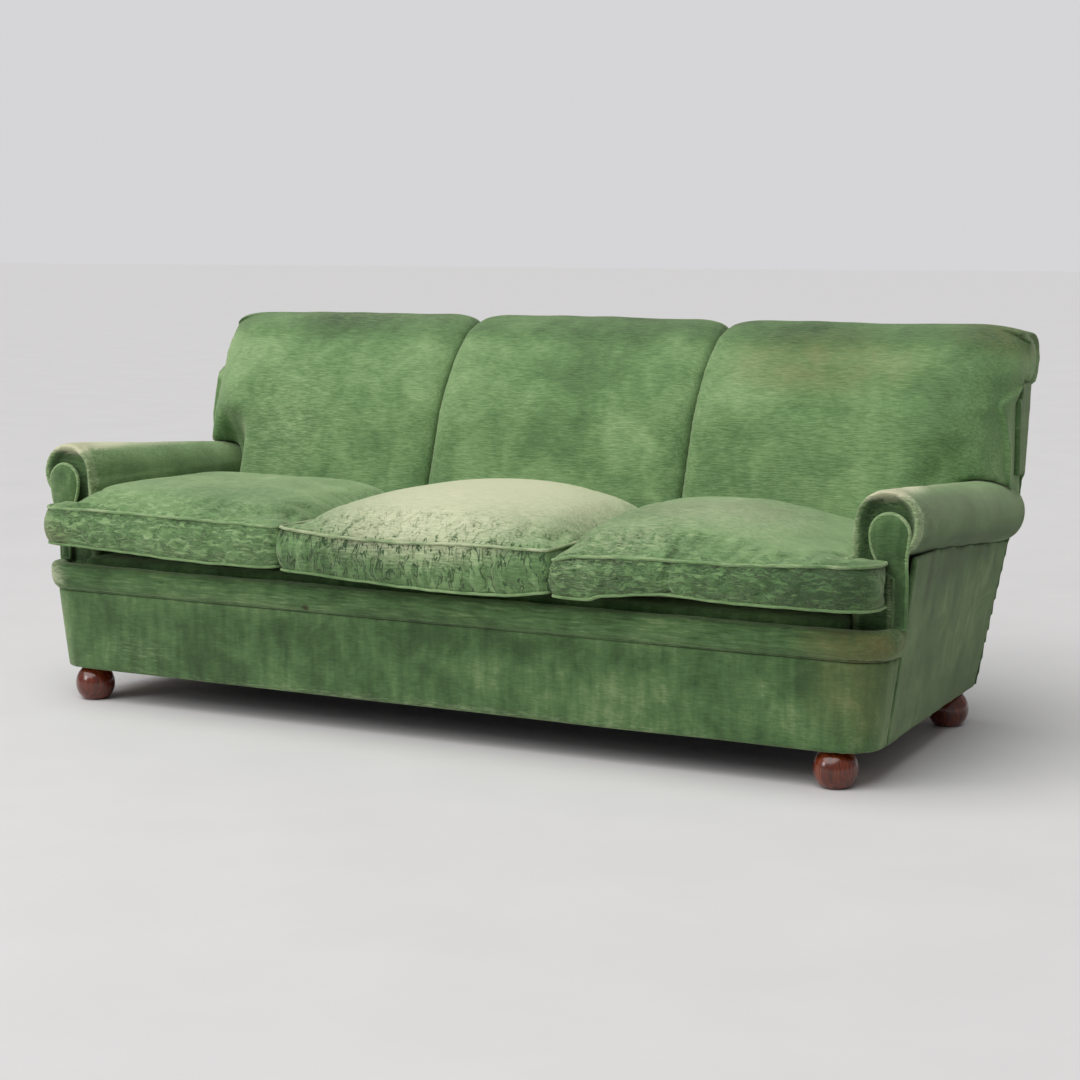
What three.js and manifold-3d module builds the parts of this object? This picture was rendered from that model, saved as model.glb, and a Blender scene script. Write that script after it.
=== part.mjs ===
// A three-seat upholstered sofa with rolled arms, loose seat cushions and turned ball feet.
// Millimetres, +Z up, +X towards the sitter's left hand, the front faces -Y.
// The widths below are given at the foot of the front and are flared upwards and drawn in
// towards the rear by flare(), as the frame under the cloth is.

import * as THREE from 'three';
import { mergeVertices } from 'three/addons/utils/BufferGeometryUtils.js';
import Module from 'manifold-3d';

const wasm = await Module();
wasm.setup();

// Driving dimensions

const SIDES = { left: -1, right: 1 }; // as seen from the front, so left is towards -X

const HALF_WIDTH = 1000; // nominal half width before the flare
const FRONT_WIDTH_FACTOR = 0.995; // half width at the foot of the front, in nominal widths
const REAR_WIDTH_FACTOR = 0.946;
const FRONT_FLARE = 0.144; // outward lean of the side at the front, mm per mm of height
const REAR_FLARE = 0.21;
const FLARE_TOP = 545; // height at which the back's sides turn upright

const BASE = { bottom: 74, top: 257, front: -426, rear: 376, corner: 78, cloth: 12 };
const WRAP_END = -325; // where the front cloth meets the side panel's seam
const EDGE_ROLL = { bottom: 258, top: 316, front: -432, halfWidth: 1006, depth: 30 };
const CLEARANCE = 1.5;

const FOOT = { x: 914, front: -383, rear: 277, height: 73.5, radius: 44.5, sole: 20 };
const BOLT = { radius: 5, bottom: 40, top: 130, room: 1.2 };

const RAIL = { bottom: 84, top: 250, thickness: 28, front: -412, rear: 352, end: 878 };
const BLOCK = { inner: 880, outer: 984, frontEnd: WRAP_END, rearStart: 240 };
const DIVIDER_X = 331; // half the middle seat
const TIMBER_GAP = 2;

const STRAP = { width: 50, thickness: 2, lower: 77, upper: 80, reach: 980 };
const SPRING = { columns: [-620, 0, 620], rows: [-250, -50, 150] };
const COIL = { bottom: 86, top: 284, turns: 4, endRadius: 46, waistRadius: 30, wire: 2.6 };
const DECK = { halfWidth: 900, front: -394, rear: 295, bottom: 290, top: 332 };

const ARM = {
  x: 1000, front: -351, rear: 325, axis: 517, radius: 67,
  fall: 0.0667, drawIn: 0.0125, // lowering and narrowing towards the rear, mm per mm
  neckInner: 927, neckOuterFront: 1014, neckOuterRear: 985, neckFront: -340, neckBottom: 335,
};
const ARM_TIMBER = { inner: 948, outer: 992, front: -336, postDepth: 61, top: 462, rear: 292 };
// Air left in the stuffing round the arm's timber and the rear post.
const ARM_ROOM = { sides: 3, top: 3, rear: 5, postFront: 4, postInner: 8, postOuter: 40 };
const FACING = {
  x: 1008, axis: 497, radius: 45, depth: 12,
  stripInner: 1018, stripOuter: 1043, shoulder: 432, bottom: 318,
  innerRise: 20, outerRise: 40, // how far below the shoulder each side's curve starts
};

const BACK = { halfWidth: 1045, bottom: 352, seamGap: 2, rollY: 387, rollZ: 795, rollRadius: 71 };
const BACK_FACE = [[90, 352], [99, 430], [118, 488], [170, 655], [212, 728], [250, 780], [315, 842]];
const END_ROUNDING = { reach: 120, depth: 110, slices: 4, full: 700, least: 800, share: 0.25 };
// The pad's hidden side: it leans up in front of the posts and hooks over the top rail.
const LINING = { foot: 200, waist: [285, 600], front: 335, rear: 420, bottom: 752, top: 822 };
const ROLL_UNDERSIDE = 1.05; // radians past the rear at which the rolled top ends
const POST_SIDE = [[300, 252], [350, 252], [343, 512], [383, 752], [350, 752], [300, 512]];
const TOP_RAIL = { front: 347, rear: 413, bottom: 754, top: 814, halfWidth: 984 };
const REAR_CLOTH = [[376, 76], [367, 512], [400, 716]];
const WING = { front: 272, rearBottom: 369, rearTop: 396, bottom: 548, top: 716 };

const CUSHION = {
  bottom: 351, top: 447, front: -480, rear: 82, outer: 1012,
  armSide: 920, armFront: -368, corner: 60, edge: 10,
  crown: 42, crownInset: 120,
};

// How many flats each curve is made of, few enough for a light mesh.
const STEPS = {
  corner: 6, footProfile: 10, foot: 20, bolt: 10, wire: 5, coilTurn: 10, sidePanel: 6,
  armRoll: 28, facing: 8, backFace: 12, backRoll: 10, cushionEdge: 2, cushionCrown: 3,
};

// Finishes

const CLOTH = { color: 0x4d7f4a, roughness: 0.92, metalness: 0 };
const FADED_CLOTH = { color: 0x93a873, roughness: 0.92, metalness: 0 };
const STAINED_WOOD = { color: 0x6b3420, roughness: 0.35, metalness: 0 };
const RAW_WOOD = { color: 0xb58f63, roughness: 0.8, metalness: 0 };
const JUTE = { color: 0x9a7f57, roughness: 0.95, metalness: 0 };
const BLACK_CLOTH = { color: 0x2c2c2c, roughness: 0.95, metalness: 0 };
const STEEL = { color: 0x8f9296, roughness: 0.4, metalness: 1 };

// Geometry helpers

const sofa = new THREE.Group();
sofa.name = 'sofa';

function addMesh(name, geometry, finish) {
  const mesh = new THREE.Mesh(geometry, new THREE.MeshStandardMaterial(finish));
  mesh.name = name;
  sofa.add(mesh);
  return mesh;
}

function block([x0, x1], [y0, y1], [z0, z1], segments = 1) {
  const geometry = new THREE.BoxGeometry(x1 - x0, y1 - y0, z1 - z0, 1, segments, segments);
  return geometry.translate((x0 + x1) / 2, (y0 + y1) / 2, (z0 + z1) / 2);
}

// A span of x on one side of the sofa, in rising order.
function spanOn(side, inner, outer) {
  return [inner * side, outer * side].sort((a, b) => a - b);
}

function onSide(side, points) {
  return points.map((point) => new THREE.Vector2(point.x * side, point.y));
}

// Plan outline, raised along Z.
function planSolid(points, bottom, top) {
  const settings = { depth: top - bottom, bevelEnabled: false };
  const geometry = new THREE.ExtrudeGeometry(new THREE.Shape(points), settings);
  return geometry.translate(0, 0, bottom);
}

// Side view outline of (y, z) points, drawn out along X.
function sideSolid(points, x0, x1, steps = 1) {
  const settings = { depth: x1 - x0, steps, bevelEnabled: false };
  const geometry = new THREE.ExtrudeGeometry(new THREE.Shape(points), settings);
  const yAxis = new THREE.Vector3(0, 1, 0);
  const zAxis = new THREE.Vector3(0, 0, 1);
  const xAxis = new THREE.Vector3(1, 0, 0);
  geometry.applyMatrix4(new THREE.Matrix4().makeBasis(yAxis, zAxis, xAxis));
  return geometry.translate(x0, 0, 0);
}

// Front view outline of (x, z) points, drawn out from y0 to y1.
function frontSolid(points, y0, y1) {
  const settings = { depth: y1 - y0, bevelEnabled: false };
  const geometry = new THREE.ExtrudeGeometry(new THREE.Shape(points), settings);
  geometry.rotateX(Math.PI / 2);
  return geometry.translate(0, y1, 0);
}

function toVectors(pairs) {
  return pairs.map(([a, b]) => new THREE.Vector2(a, b));
}

// Points of a quarter turn from one heading to the next, both in radians.
function arc(x, y, radius, start, end, steps = STEPS.corner) {
  const curve = new THREE.EllipseCurve(x, y, radius, radius, start, end, end < start);
  return curve.getPoints(steps);
}

function circlePoints(x, y, radius, steps) {
  return arc(x, y, radius, 0, 2 * Math.PI, steps).slice(0, steps);
}

// The frame widens upwards and narrows to the rear, so a nominal x is scaled by this factor.
function widthFactor(y, z) {
  const height = Math.min(z, FLARE_TOP) - BASE.bottom;
  const front = FRONT_WIDTH_FACTOR + (FRONT_FLARE * height) / HALF_WIDTH;
  const rear = REAR_WIDTH_FACTOR + (REAR_FLARE * height) / HALF_WIDTH;
  const along = THREE.MathUtils.clamp((y - WRAP_END) / (BASE.rear - WRAP_END), 0, 1);
  return THREE.MathUtils.lerp(front, rear, along);
}

function flare(geometry) {
  const position = geometry.getAttribute('position');
  for (let i = 0; i < position.count; i += 1) {
    const factor = widthFactor(position.getY(i), position.getZ(i));
    position.setX(i, position.getX(i) * factor);
  }
  geometry.computeVertexNormals();
  return geometry;
}

function toSolid(geometry) {
  const bare = geometry.clone();
  bare.deleteAttribute('normal');
  bare.deleteAttribute('uv');
  const merged = mergeVertices(bare);
  return new wasm.Manifold(new wasm.Mesh({
    numProp: 3,
    vertProperties: new Float32Array(merged.getAttribute('position').array),
    triVerts: new Uint32Array(merged.getIndex().array),
  }));
}

function toGeometry(solid) {
  const mesh = solid.getMesh();
  const geometry = new THREE.BufferGeometry();
  geometry.setAttribute('position', new THREE.BufferAttribute(mesh.vertProperties, 3));
  geometry.setIndex(new THREE.BufferAttribute(mesh.triVerts, 1));
  geometry.computeVertexNormals();
  return geometry;
}

function cut(geometry, ...tools) {
  const start = toSolid(geometry);
  return toGeometry(tools.reduce((solid, tool) => solid.subtract(toSolid(tool)), start));
}

function join(geometry, ...others) {
  const start = toSolid(geometry);
  return toGeometry(others.reduce((solid, other) => solid.add(toSolid(other)), start));
}

// Feet

function footGeometry() {
  const middle = FOOT.height / 2;
  const soleAngle = Math.asin(FOOT.sole / FOOT.radius) - Math.PI / 2;
  const bulge = new THREE.EllipseCurve(0, middle, FOOT.radius, middle, soleAngle, -soleAngle);
  const profile = bulge.getPoints(STEPS.footProfile);
  profile[0].y = 0;
  profile[STEPS.footProfile].y = FOOT.height;
  const hole = BOLT.radius + BOLT.room;
  profile.unshift(new THREE.Vector2(0, 0));
  profile.push(new THREE.Vector2(hole, FOOT.height));
  profile.push(new THREE.Vector2(hole, BOLT.bottom - BOLT.room));
  profile.push(new THREE.Vector2(0, BOLT.bottom - BOLT.room));
  return new THREE.LatheGeometry(profile, STEPS.foot).rotateX(Math.PI / 2);
}

function boltGeometry(radius, bottom, top) {
  const geometry = new THREE.CylinderGeometry(radius, radius, top - bottom, STEPS.bolt);
  return geometry.rotateX(Math.PI / 2).translate(0, 0, (top + bottom) / 2);
}

function addFeet() {
  for (const [sideName, side] of Object.entries(SIDES)) {
    for (const end of ['front', 'rear']) {
      const foot = addMesh(`foot_${end}_${sideName}`, footGeometry(), STAINED_WOOD);
      foot.position.set(side * FOOT.x, FOOT[end], 0);
      const shank = boltGeometry(BOLT.radius, BOLT.bottom, BOLT.top);
      const bolt = addMesh(`foot_bolt_${end}_${sideName}`, shank, STEEL);
      bolt.position.set(side * FOOT.x, FOOT[end], 0);
    }
  }
}

// Timber frame

// Plan of a front corner block: its outer corner is cut back inside the rounded cloth.
function frontBlockPlan(side) {
  const shoulder = HALF_WIDTH - BASE.corner + TIMBER_GAP;
  return onSide(side, toVectors([
    [BLOCK.inner, RAIL.front],
    [shoulder, RAIL.front],
    [BLOCK.outer, BASE.front + BASE.corner - TIMBER_GAP],
    [BLOCK.outer, BLOCK.frontEnd],
    [BLOCK.inner, BLOCK.frontEnd],
  ]));
}

function addCornerBlocks() {
  for (const [sideName, side] of Object.entries(SIDES)) {
    const span = spanOn(side, BLOCK.inner, BLOCK.outer);
    const shapes = {
      front: planSolid(frontBlockPlan(side), BASE.bottom, RAIL.top),
      rear: block(span, [BLOCK.rearStart, RAIL.rear], [BASE.bottom, RAIL.top]),
    };
    for (const [end, shape] of Object.entries(shapes)) {
      const hole = boltGeometry(BOLT.radius + BOLT.room, BOLT.bottom, BOLT.top + BOLT.room);
      hole.translate(side * FOOT.x, FOOT[end], 0);
      addMesh(`corner_block_${end}_${sideName}`, cut(flare(shape), hole), RAW_WOOD);
    }
  }
}

function addRails() {
  const across = [-RAIL.end, RAIL.end];
  const height = [RAIL.bottom, RAIL.top];
  const frontSpan = [RAIL.front, RAIL.front + RAIL.thickness];
  const rearSpan = [RAIL.rear - RAIL.thickness, RAIL.rear];
  addMesh('front_rail', flare(block(across, frontSpan, height)), RAW_WOOD);
  addMesh('rear_rail', flare(block(across, rearSpan, height)), RAW_WOOD);
  for (const [sideName, side] of Object.entries(SIDES)) {
    const sideSpan = spanOn(side, BLOCK.outer - RAIL.thickness, BLOCK.outer);
    const along = [BLOCK.frontEnd + TIMBER_GAP, BLOCK.rearStart - TIMBER_GAP];
    addMesh(`side_rail_${sideName}`, flare(block(sideSpan, along, height)), RAW_WOOD);
    const half = RAIL.thickness / 2;
    const dividerSpan = [side * DIVIDER_X - half, side * DIVIDER_X + half];
    const between = [frontSpan[1] + TIMBER_GAP, rearSpan[0] - TIMBER_GAP];
    const divider = block(dividerSpan, between, height);
    addMesh(`cross_rail_${sideName}`, divider, RAW_WOOD);
  }
}

function addArmTimbers() {
  for (const [sideName, side] of Object.entries(SIDES)) {
    const span = spanOn(side, ARM_TIMBER.inner, ARM_TIMBER.outer);
    const postEnd = ARM_TIMBER.front + ARM_TIMBER.postDepth;
    const boardBottom = ARM_TIMBER.top - ARM_TIMBER.postDepth;
    const post = block(span, [ARM_TIMBER.front, postEnd], [RAIL.top + TIMBER_GAP, ARM_TIMBER.top]);
    addMesh(`arm_post_${sideName}`, post, RAW_WOOD);
    const boardSide = toVectors([
      [postEnd + TIMBER_GAP, boardBottom],
      [ARM_TIMBER.rear, boardBottom - (ARM_TIMBER.rear - postEnd) * ARM.fall],
      [ARM_TIMBER.rear, ARM_TIMBER.top - (ARM_TIMBER.rear - postEnd) * ARM.fall],
      [postEnd + TIMBER_GAP, ARM_TIMBER.top],
    ]);
    addMesh(`arm_board_${sideName}`, sideSolid(boardSide, ...span), RAW_WOOD);
  }
}

function addBackTimbers() {
  const side2d = toVectors(POST_SIDE);
  for (const [sideName, side] of Object.entries(SIDES)) {
    const span = spanOn(side, BLOCK.outer - RAIL.thickness, BLOCK.outer);
    addMesh(`back_post_${sideName}`, flare(sideSolid(side2d, ...span)), RAW_WOOD);
    const half = RAIL.thickness / 2;
    const uprightSpan = [side * DIVIDER_X - half, side * DIVIDER_X + half];
    addMesh(`back_upright_${sideName}`, sideSolid(side2d, ...uprightSpan), RAW_WOOD);
  }
  const topSpan = [TOP_RAIL.front, TOP_RAIL.rear];
  const topHeight = [TOP_RAIL.bottom, TOP_RAIL.top];
  const across = [-TOP_RAIL.halfWidth, TOP_RAIL.halfWidth];
  addMesh('back_top_rail', flare(block(across, topSpan, topHeight)), RAW_WOOD);
}

// Springing

function addWebbing() {
  const half = STRAP.width / 2;
  SPRING.rows.forEach((y, index) => {
    const span = [y - half, y + half];
    const height = [STRAP.lower, STRAP.lower + STRAP.thickness];
    const strap = block([-STRAP.reach, STRAP.reach], span, height);
    addMesh(`webbing_long_${index + 1}`, flare(strap), JUTE);
  });
  SPRING.columns.forEach((x, index) => {
    const height = [STRAP.upper, STRAP.upper + STRAP.thickness];
    const strap = block([x - half, x + half], [RAIL.front, RAIL.rear], height);
    addMesh(`webbing_cross_${index + 1}`, strap, JUTE);
  });
}

class HourglassCoil extends THREE.Curve {
  getPoint(t, target = new THREE.Vector3()) {
    const angle = t * COIL.turns * 2 * Math.PI;
    const waist = COIL.waistRadius;
    const radius = waist + (COIL.endRadius - waist) * Math.cos(t * Math.PI) ** 2;
    const z = COIL.bottom + (COIL.top - COIL.bottom) * t;
    return target.set(radius * Math.cos(angle), radius * Math.sin(angle), z);
  }
}

function addSprings() {
  const wire = new THREE.Shape(circlePoints(0, 0, COIL.wire, STEPS.wire));
  const settings = { steps: COIL.turns * STEPS.coilTurn, extrudePath: new HourglassCoil() };
  let number = 1;
  for (const y of SPRING.rows) {
    for (const x of SPRING.columns) {
      const coil = new THREE.ExtrudeGeometry(wire, settings);
      const spring = addMesh(`seat_spring_${number}`, coil, STEEL);
      spring.position.set(x, y, 0);
      number += 1;
    }
  }
}

function addDeck() {
  const across = [-DECK.halfWidth, DECK.halfWidth];
  const deck = block(across, [DECK.front, DECK.rear], [DECK.bottom, DECK.top]);
  addMesh('seat_deck', flare(deck), CLOTH);
}

// Covers of the base

// Plan of a strip that runs along the front and wraps both rounded corners.
function wrapPlan(halfWidth, front, depth, radius) {
  const turn = Math.PI / 2;
  const corner = { x: halfWidth - radius, y: front + radius };
  const outer = arc(corner.x, corner.y, radius, 0, -turn);
  const inner = arc(corner.x, corner.y, radius - depth, -turn, 0);
  const mirror = (points) => onSide(-1, points).reverse();
  return [
    new THREE.Vector2(halfWidth, WRAP_END), ...outer, ...mirror(outer),
    new THREE.Vector2(-halfWidth, WRAP_END), new THREE.Vector2(depth - halfWidth, WRAP_END),
    ...mirror(inner), ...inner, new THREE.Vector2(halfWidth - depth, WRAP_END),
  ];
}

function addFrontCovers() {
  const panelPlan = wrapPlan(HALF_WIDTH, BASE.front, BASE.cloth, BASE.corner);
  addMesh('front_panel', flare(planSolid(panelPlan, BASE.bottom, BASE.top)), CLOTH);
  const roll = EDGE_ROLL;
  const rollPlan = wrapPlan(roll.halfWidth, roll.front, roll.depth, BASE.corner);
  addMesh('front_edge_roll', flare(planSolid(rollPlan, roll.bottom, roll.top)), CLOTH);
}

function addSidePanels() {
  for (const [sideName, side] of Object.entries(SIDES)) {
    const span = spanOn(side, HALF_WIDTH - BASE.cloth, HALF_WIDTH);
    const along = [WRAP_END + TIMBER_GAP, RAIL.rear];
    const height = [BASE.bottom, ARM.axis - ARM.radius];
    const sheet = block(span, along, height, STEPS.sidePanel);
    const room = armRollGeometry(side, ARM.radius + CLEARANCE, BASE.rear);
    addMesh(`side_panel_${sideName}`, cut(flare(sheet), room), CLOTH);
  }
}

function addDustCover() {
  const across = [-RAIL.end + BASE.cloth, RAIL.end - BASE.cloth];
  const cover = block(across, [RAIL.front, RAIL.rear], [BASE.bottom, BASE.bottom + CLEARANCE]);
  addMesh('dust_cover', flare(cover), BLACK_CLOTH);
}

// Arms

function armRollGeometry(side, radius, rear) {
  const circle = circlePoints(side * ARM.x, ARM.axis, radius, STEPS.armRoll);
  const roll = frontSolid(circle, 0, rear - ARM.front);
  const slope = new THREE.Matrix4().makeShear(0, 0, -side * ARM.drawIn, -ARM.fall, 0, 0);
  return roll.applyMatrix4(slope).translate(0, ARM.front, 0);
}

function armNeckGeometry(side) {
  const plan = toVectors([
    [ARM.neckInner, ARM.neckFront],
    [ARM.neckOuterFront, ARM.neckFront],
    [ARM.neckOuterRear, ARM.rear],
    [ARM.neckInner, ARM.rear],
  ]);
  return planSolid(onSide(side, plan), ARM.neckBottom, ARM.axis - ARM.radius / 2);
}

function addArmPads() {
  for (const [sideName, side] of Object.entries(SIDES)) {
    const roll = armRollGeometry(side, ARM.radius, ARM.rear);
    const room = ARM_ROOM;
    const timberSpan = spanOn(side, ARM_TIMBER.inner - room.sides, ARM_TIMBER.outer + room.sides);
    const timberRoom = block(
      timberSpan,
      [ARM.front + BASE.cloth, ARM_TIMBER.rear + room.rear],
      [ARM.neckBottom - BASE.cloth, ARM_TIMBER.top + room.top],
    );
    const postRoom = block(
      spanOn(side, ARM_TIMBER.inner - room.postInner, ARM.x + room.postOuter),
      [ARM_TIMBER.rear + room.postFront, BASE.rear],
      [ARM.neckBottom - BASE.cloth, FLARE_TOP + BASE.cloth],
    );
    const pad = cut(join(roll, armNeckGeometry(side)), timberRoom, postRoom);
    addMesh(`arm_pad_${sideName}`, pad, CLOTH);
  }
}

// An upturned pear: a round head over the roll, drawn down into a strip beside the cushion.
function facingOutline(side) {
  const outline = new THREE.Shape();
  const right = FACING.x + FACING.radius;
  const left = FACING.x - FACING.radius;
  outline.moveTo(FACING.stripInner, FACING.bottom);
  outline.lineTo(FACING.stripOuter, FACING.bottom);
  outline.lineTo(FACING.stripOuter, FACING.shoulder - FACING.outerRise);
  outline.quadraticCurveTo(FACING.stripOuter, FACING.shoulder, right, FACING.axis);
  outline.absarc(FACING.x, FACING.axis, FACING.radius, 0, Math.PI, false);
  const innerTop = FACING.shoulder - FACING.innerRise;
  outline.quadraticCurveTo(left, FACING.shoulder, FACING.stripInner, innerTop);
  outline.closePath();
  return onSide(side, outline.getPoints(STEPS.facing));
}

function addArmFacings() {
  for (const [sideName, side] of Object.entries(SIDES)) {
    const rear = ARM.front - CLEARANCE / 3;
    const facing = frontSolid(facingOutline(side), rear - FACING.depth, rear);
    addMesh(`arm_facing_${sideName}`, toGeometry(toSolid(facing)), CLOTH);
  }
}

// Back

function backPadProfile() {
  const crest = [BACK.rollY, BACK.rollZ + BACK.rollRadius];
  const face = new THREE.SplineCurve(toVectors([...BACK_FACE, crest])).getPoints(STEPS.backFace);
  const rollEnds = [Math.PI / 2, -ROLL_UNDERSIDE];
  const over = arc(BACK.rollY, BACK.rollZ, BACK.rollRadius, ...rollEnds, STEPS.backRoll);
  const lining = [
    [LINING.rear, LINING.bottom], [LINING.rear, LINING.top], [LINING.front, LINING.top],
    [LINING.front, LINING.bottom], LINING.waist, [LINING.foot, BACK.bottom],
  ];
  return [...face.slice(0, -1), ...over, ...toVectors(lining)];
}

// How far back the pad's hidden side is at a height, or the crest of the roll above it.
function liningAt(z) {
  if (z > LINING.top + 1) {
    return BACK.rollY;
  }
  const rise = (z - BACK.bottom) / (LINING.bottom - BACK.bottom);
  return Math.min(THREE.MathUtils.lerp(LINING.foot, LINING.front, rise), LINING.front) - 1;
}

// The face of an end section turns back round its outer end, less so at the rolled top.
function roundEnd(geometry, side) {
  const position = geometry.getAttribute('position');
  const start = BACK.halfWidth - END_ROUNDING.reach;
  for (let i = 0; i < position.count; i += 1) {
    const z = position.getZ(i);
    const past = Math.max(0, (position.getX(i) * side - start) / END_ROUNDING.reach);
    const turn = 1 - Math.sqrt(Math.max(0, 1 - past * past));
    const rise = THREE.MathUtils.smoothstep(z, END_ROUNDING.full, END_ROUNDING.least);
    const share = THREE.MathUtils.lerp(1, END_ROUNDING.share, rise);
    const isFace = position.getY(i) < liningAt(z);
    const push = isFace ? END_ROUNDING.depth * turn * share : 0;
    position.setY(i, position.getY(i) + push);
  }
  return geometry;
}

function addBackPads() {
  const profile = backPadProfile();
  const seam = DIVIDER_X + BACK.seamGap / 2;
  const middle = sideSolid(profile, BACK.seamGap - seam, seam - BACK.seamGap);
  addMesh('back_pad_middle', middle, CLOTH);
  for (const [sideName, side] of Object.entries(SIDES)) {
    const turnStart = BACK.halfWidth - END_ROUNDING.reach;
    const straight = sideSolid(profile, ...spanOn(side, seam, turnStart + 1));
    const endSpan = spanOn(side, turnStart, BACK.halfWidth);
    const end = roundEnd(sideSolid(profile, ...endSpan, END_ROUNDING.slices), side);
    const pad = join(straight, end);
    const rollRoom = armRollGeometry(side, ARM.radius + CLEARANCE, BASE.rear);
    const neckRoom = block(
      spanOn(side, ARM.neckInner - CLEARANCE, BACK.halfWidth + 1),
      [0, BASE.rear],
      [BACK.bottom - 1, ARM.axis - ARM.radius / 2],
    );
    const wingRoom = block(
      spanOn(side, BACK.halfWidth - BASE.cloth - CLEARANCE * 2, BACK.halfWidth + 1),
      [WING.front - CLEARANCE, BACK.rollY + BACK.rollRadius],
      [ARM.axis - ARM.radius, WING.top + CLEARANCE],
    );
    addMesh(`back_pad_${sideName}`, cut(pad, rollRoom, neckRoom, wingRoom), CLOTH);
  }
}

function addOuterBack() {
  const rear = toVectors(REAR_CLOTH);
  const inner = rear.map((point) => new THREE.Vector2(point.x - BASE.cloth, point.y)).reverse();
  const across = [-HALF_WIDTH, HALF_WIDTH];
  const panel = flare(sideSolid([...rear, ...inner], ...across));
  const wings = Object.values(SIDES).map((side) => {
    const span = spanOn(side, HALF_WIDTH - BASE.cloth, HALF_WIDTH);
    const outline = toVectors([
      [WING.front, WING.bottom],
      [WING.rearBottom, WING.bottom],
      [WING.rearTop, WING.top],
      [WING.front, WING.top],
    ]);
    return flare(sideSolid(outline, ...span));
  });
  addMesh('outer_back_panel', join(panel, ...wings), CLOTH);
}

// Loose cushions

// Plan of an end cushion: it has a lug that comes round in front of the arm.
function endCushionPlan(side, inset) {
  const inner = DIVIDER_X + CLEARANCE + inset;
  const outer = CUSHION.outer - inset;
  const front = CUSHION.front + inset;
  const turn = Math.PI / 2;
  const radius = CUSHION.corner;
  const lugRear = CUSHION.armFront - inset;
  const hasLug = lugRear > front + radius;
  const armSide = CUSHION.armSide - inset;
  const corner = hasLug ? outer : armSide;
  const lug = hasLug ? [[outer, lugRear], [armSide, lugRear]] : [];
  return onSide(side, [
    new THREE.Vector2(inner, front),
    ...arc(corner - radius, front + radius, radius, -turn, 0),
    ...toVectors([...lug, [armSide, CUSHION.rear - inset], [inner, CUSHION.rear - inset]]),
  ]);
}

function middleCushionPlan(inset) {
  const half = DIVIDER_X - CLEARANCE - inset;
  const front = CUSHION.front + inset;
  const rear = CUSHION.rear - inset;
  return toVectors([[-half, front], [half, front], [half, rear], [-half, rear]]);
}

function cushionGeometry(planAt) {
  const body = new THREE.ExtrudeGeometry(new THREE.Shape(planAt(CUSHION.edge)), {
    depth: CUSHION.top - CUSHION.bottom - 2 * CUSHION.edge,
    bevelThickness: CUSHION.edge,
    bevelSize: CUSHION.edge,
    bevelSegments: STEPS.cushionEdge,
  }).translate(0, 0, CUSHION.bottom + CUSHION.edge);
  const crown = new THREE.ExtrudeGeometry(new THREE.Shape(planAt(CUSHION.crownInset)), {
    depth: 1,
    bevelThickness: CUSHION.crown,
    bevelSize: CUSHION.crownInset - 2 * CUSHION.edge,
    bevelSegments: STEPS.cushionCrown,
  }).translate(0, 0, CUSHION.top - CUSHION.edge);
  return join(body, crown);
}

function addSeatCushions() {
  for (const [sideName, side] of Object.entries(SIDES)) {
    const cushion = cushionGeometry((inset) => endCushionPlan(side, inset));
    addMesh(`seat_cushion_${sideName}`, cushion, CLOTH);
  }
  addMesh('seat_cushion_middle', cushionGeometry(middleCushionPlan), FADED_CLOTH);
}

// Assembly

addFeet();
addCornerBlocks();
addRails();
addArmTimbers();
addBackTimbers();
addWebbing();
addSprings();
addDeck();
addFrontCovers();
addSidePanels();
addDustCover();
addArmPads();
addArmFacings();
addBackPads();
addOuterBack();
addSeatCushions();

// The origin stands on the floor under the middle of the sofa's whole depth.
const extent = new THREE.Box3().setFromObject(sofa);
sofa.position.y = -(extent.min.y + extent.max.y) / 2;
sofa.updateMatrixWorld(true);

export default sofa;
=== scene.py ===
import math

import bmesh
import bpy
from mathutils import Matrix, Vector, noise


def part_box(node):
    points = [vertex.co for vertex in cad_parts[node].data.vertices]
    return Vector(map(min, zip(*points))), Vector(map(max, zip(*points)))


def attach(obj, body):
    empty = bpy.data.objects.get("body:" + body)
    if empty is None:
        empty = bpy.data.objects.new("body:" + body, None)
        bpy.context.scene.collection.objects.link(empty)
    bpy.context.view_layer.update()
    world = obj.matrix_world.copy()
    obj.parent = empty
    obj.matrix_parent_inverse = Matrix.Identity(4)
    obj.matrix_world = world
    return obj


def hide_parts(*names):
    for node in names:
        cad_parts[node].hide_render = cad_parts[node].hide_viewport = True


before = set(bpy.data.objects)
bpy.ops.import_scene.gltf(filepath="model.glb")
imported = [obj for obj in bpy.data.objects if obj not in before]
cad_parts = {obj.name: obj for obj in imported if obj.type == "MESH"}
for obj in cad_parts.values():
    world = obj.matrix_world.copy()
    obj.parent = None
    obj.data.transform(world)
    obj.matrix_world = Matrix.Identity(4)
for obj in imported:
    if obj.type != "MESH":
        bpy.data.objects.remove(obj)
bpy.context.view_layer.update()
sceneData = bpy.context.scene
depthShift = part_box("front_panel")[0].y + 0.426  # the drawing's depths to the frame's
sideSigns = {"left": -1, "right": 1}


# camera: set first, so that everything after it can be judged from it

cameraSettings = {
    "place": (2.55323, -4.54686, 1.06675),
    "tilt": 82.5309,  # degrees from straight down
    "turn": 28.7889,  # degrees round the vertical
    "lens": 78.041,
    "sensor": 36.0,
}


def makeCamera(settings):
    data = bpy.data.cameras.new("studioCamera")
    data.lens = settings["lens"]
    data.sensor_width = settings["sensor"]
    data.clip_end = 200
    camera = bpy.data.objects.new("studioCamera", data)
    camera.location = settings["place"]
    turn = (math.radians(settings["tilt"]), 0, math.radians(settings["turn"]))
    camera.rotation_euler = turn
    sceneData.collection.objects.link(camera)
    sceneData.camera = camera


makeCamera(cameraSettings)
print("camera set")


# colours and nodes

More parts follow.
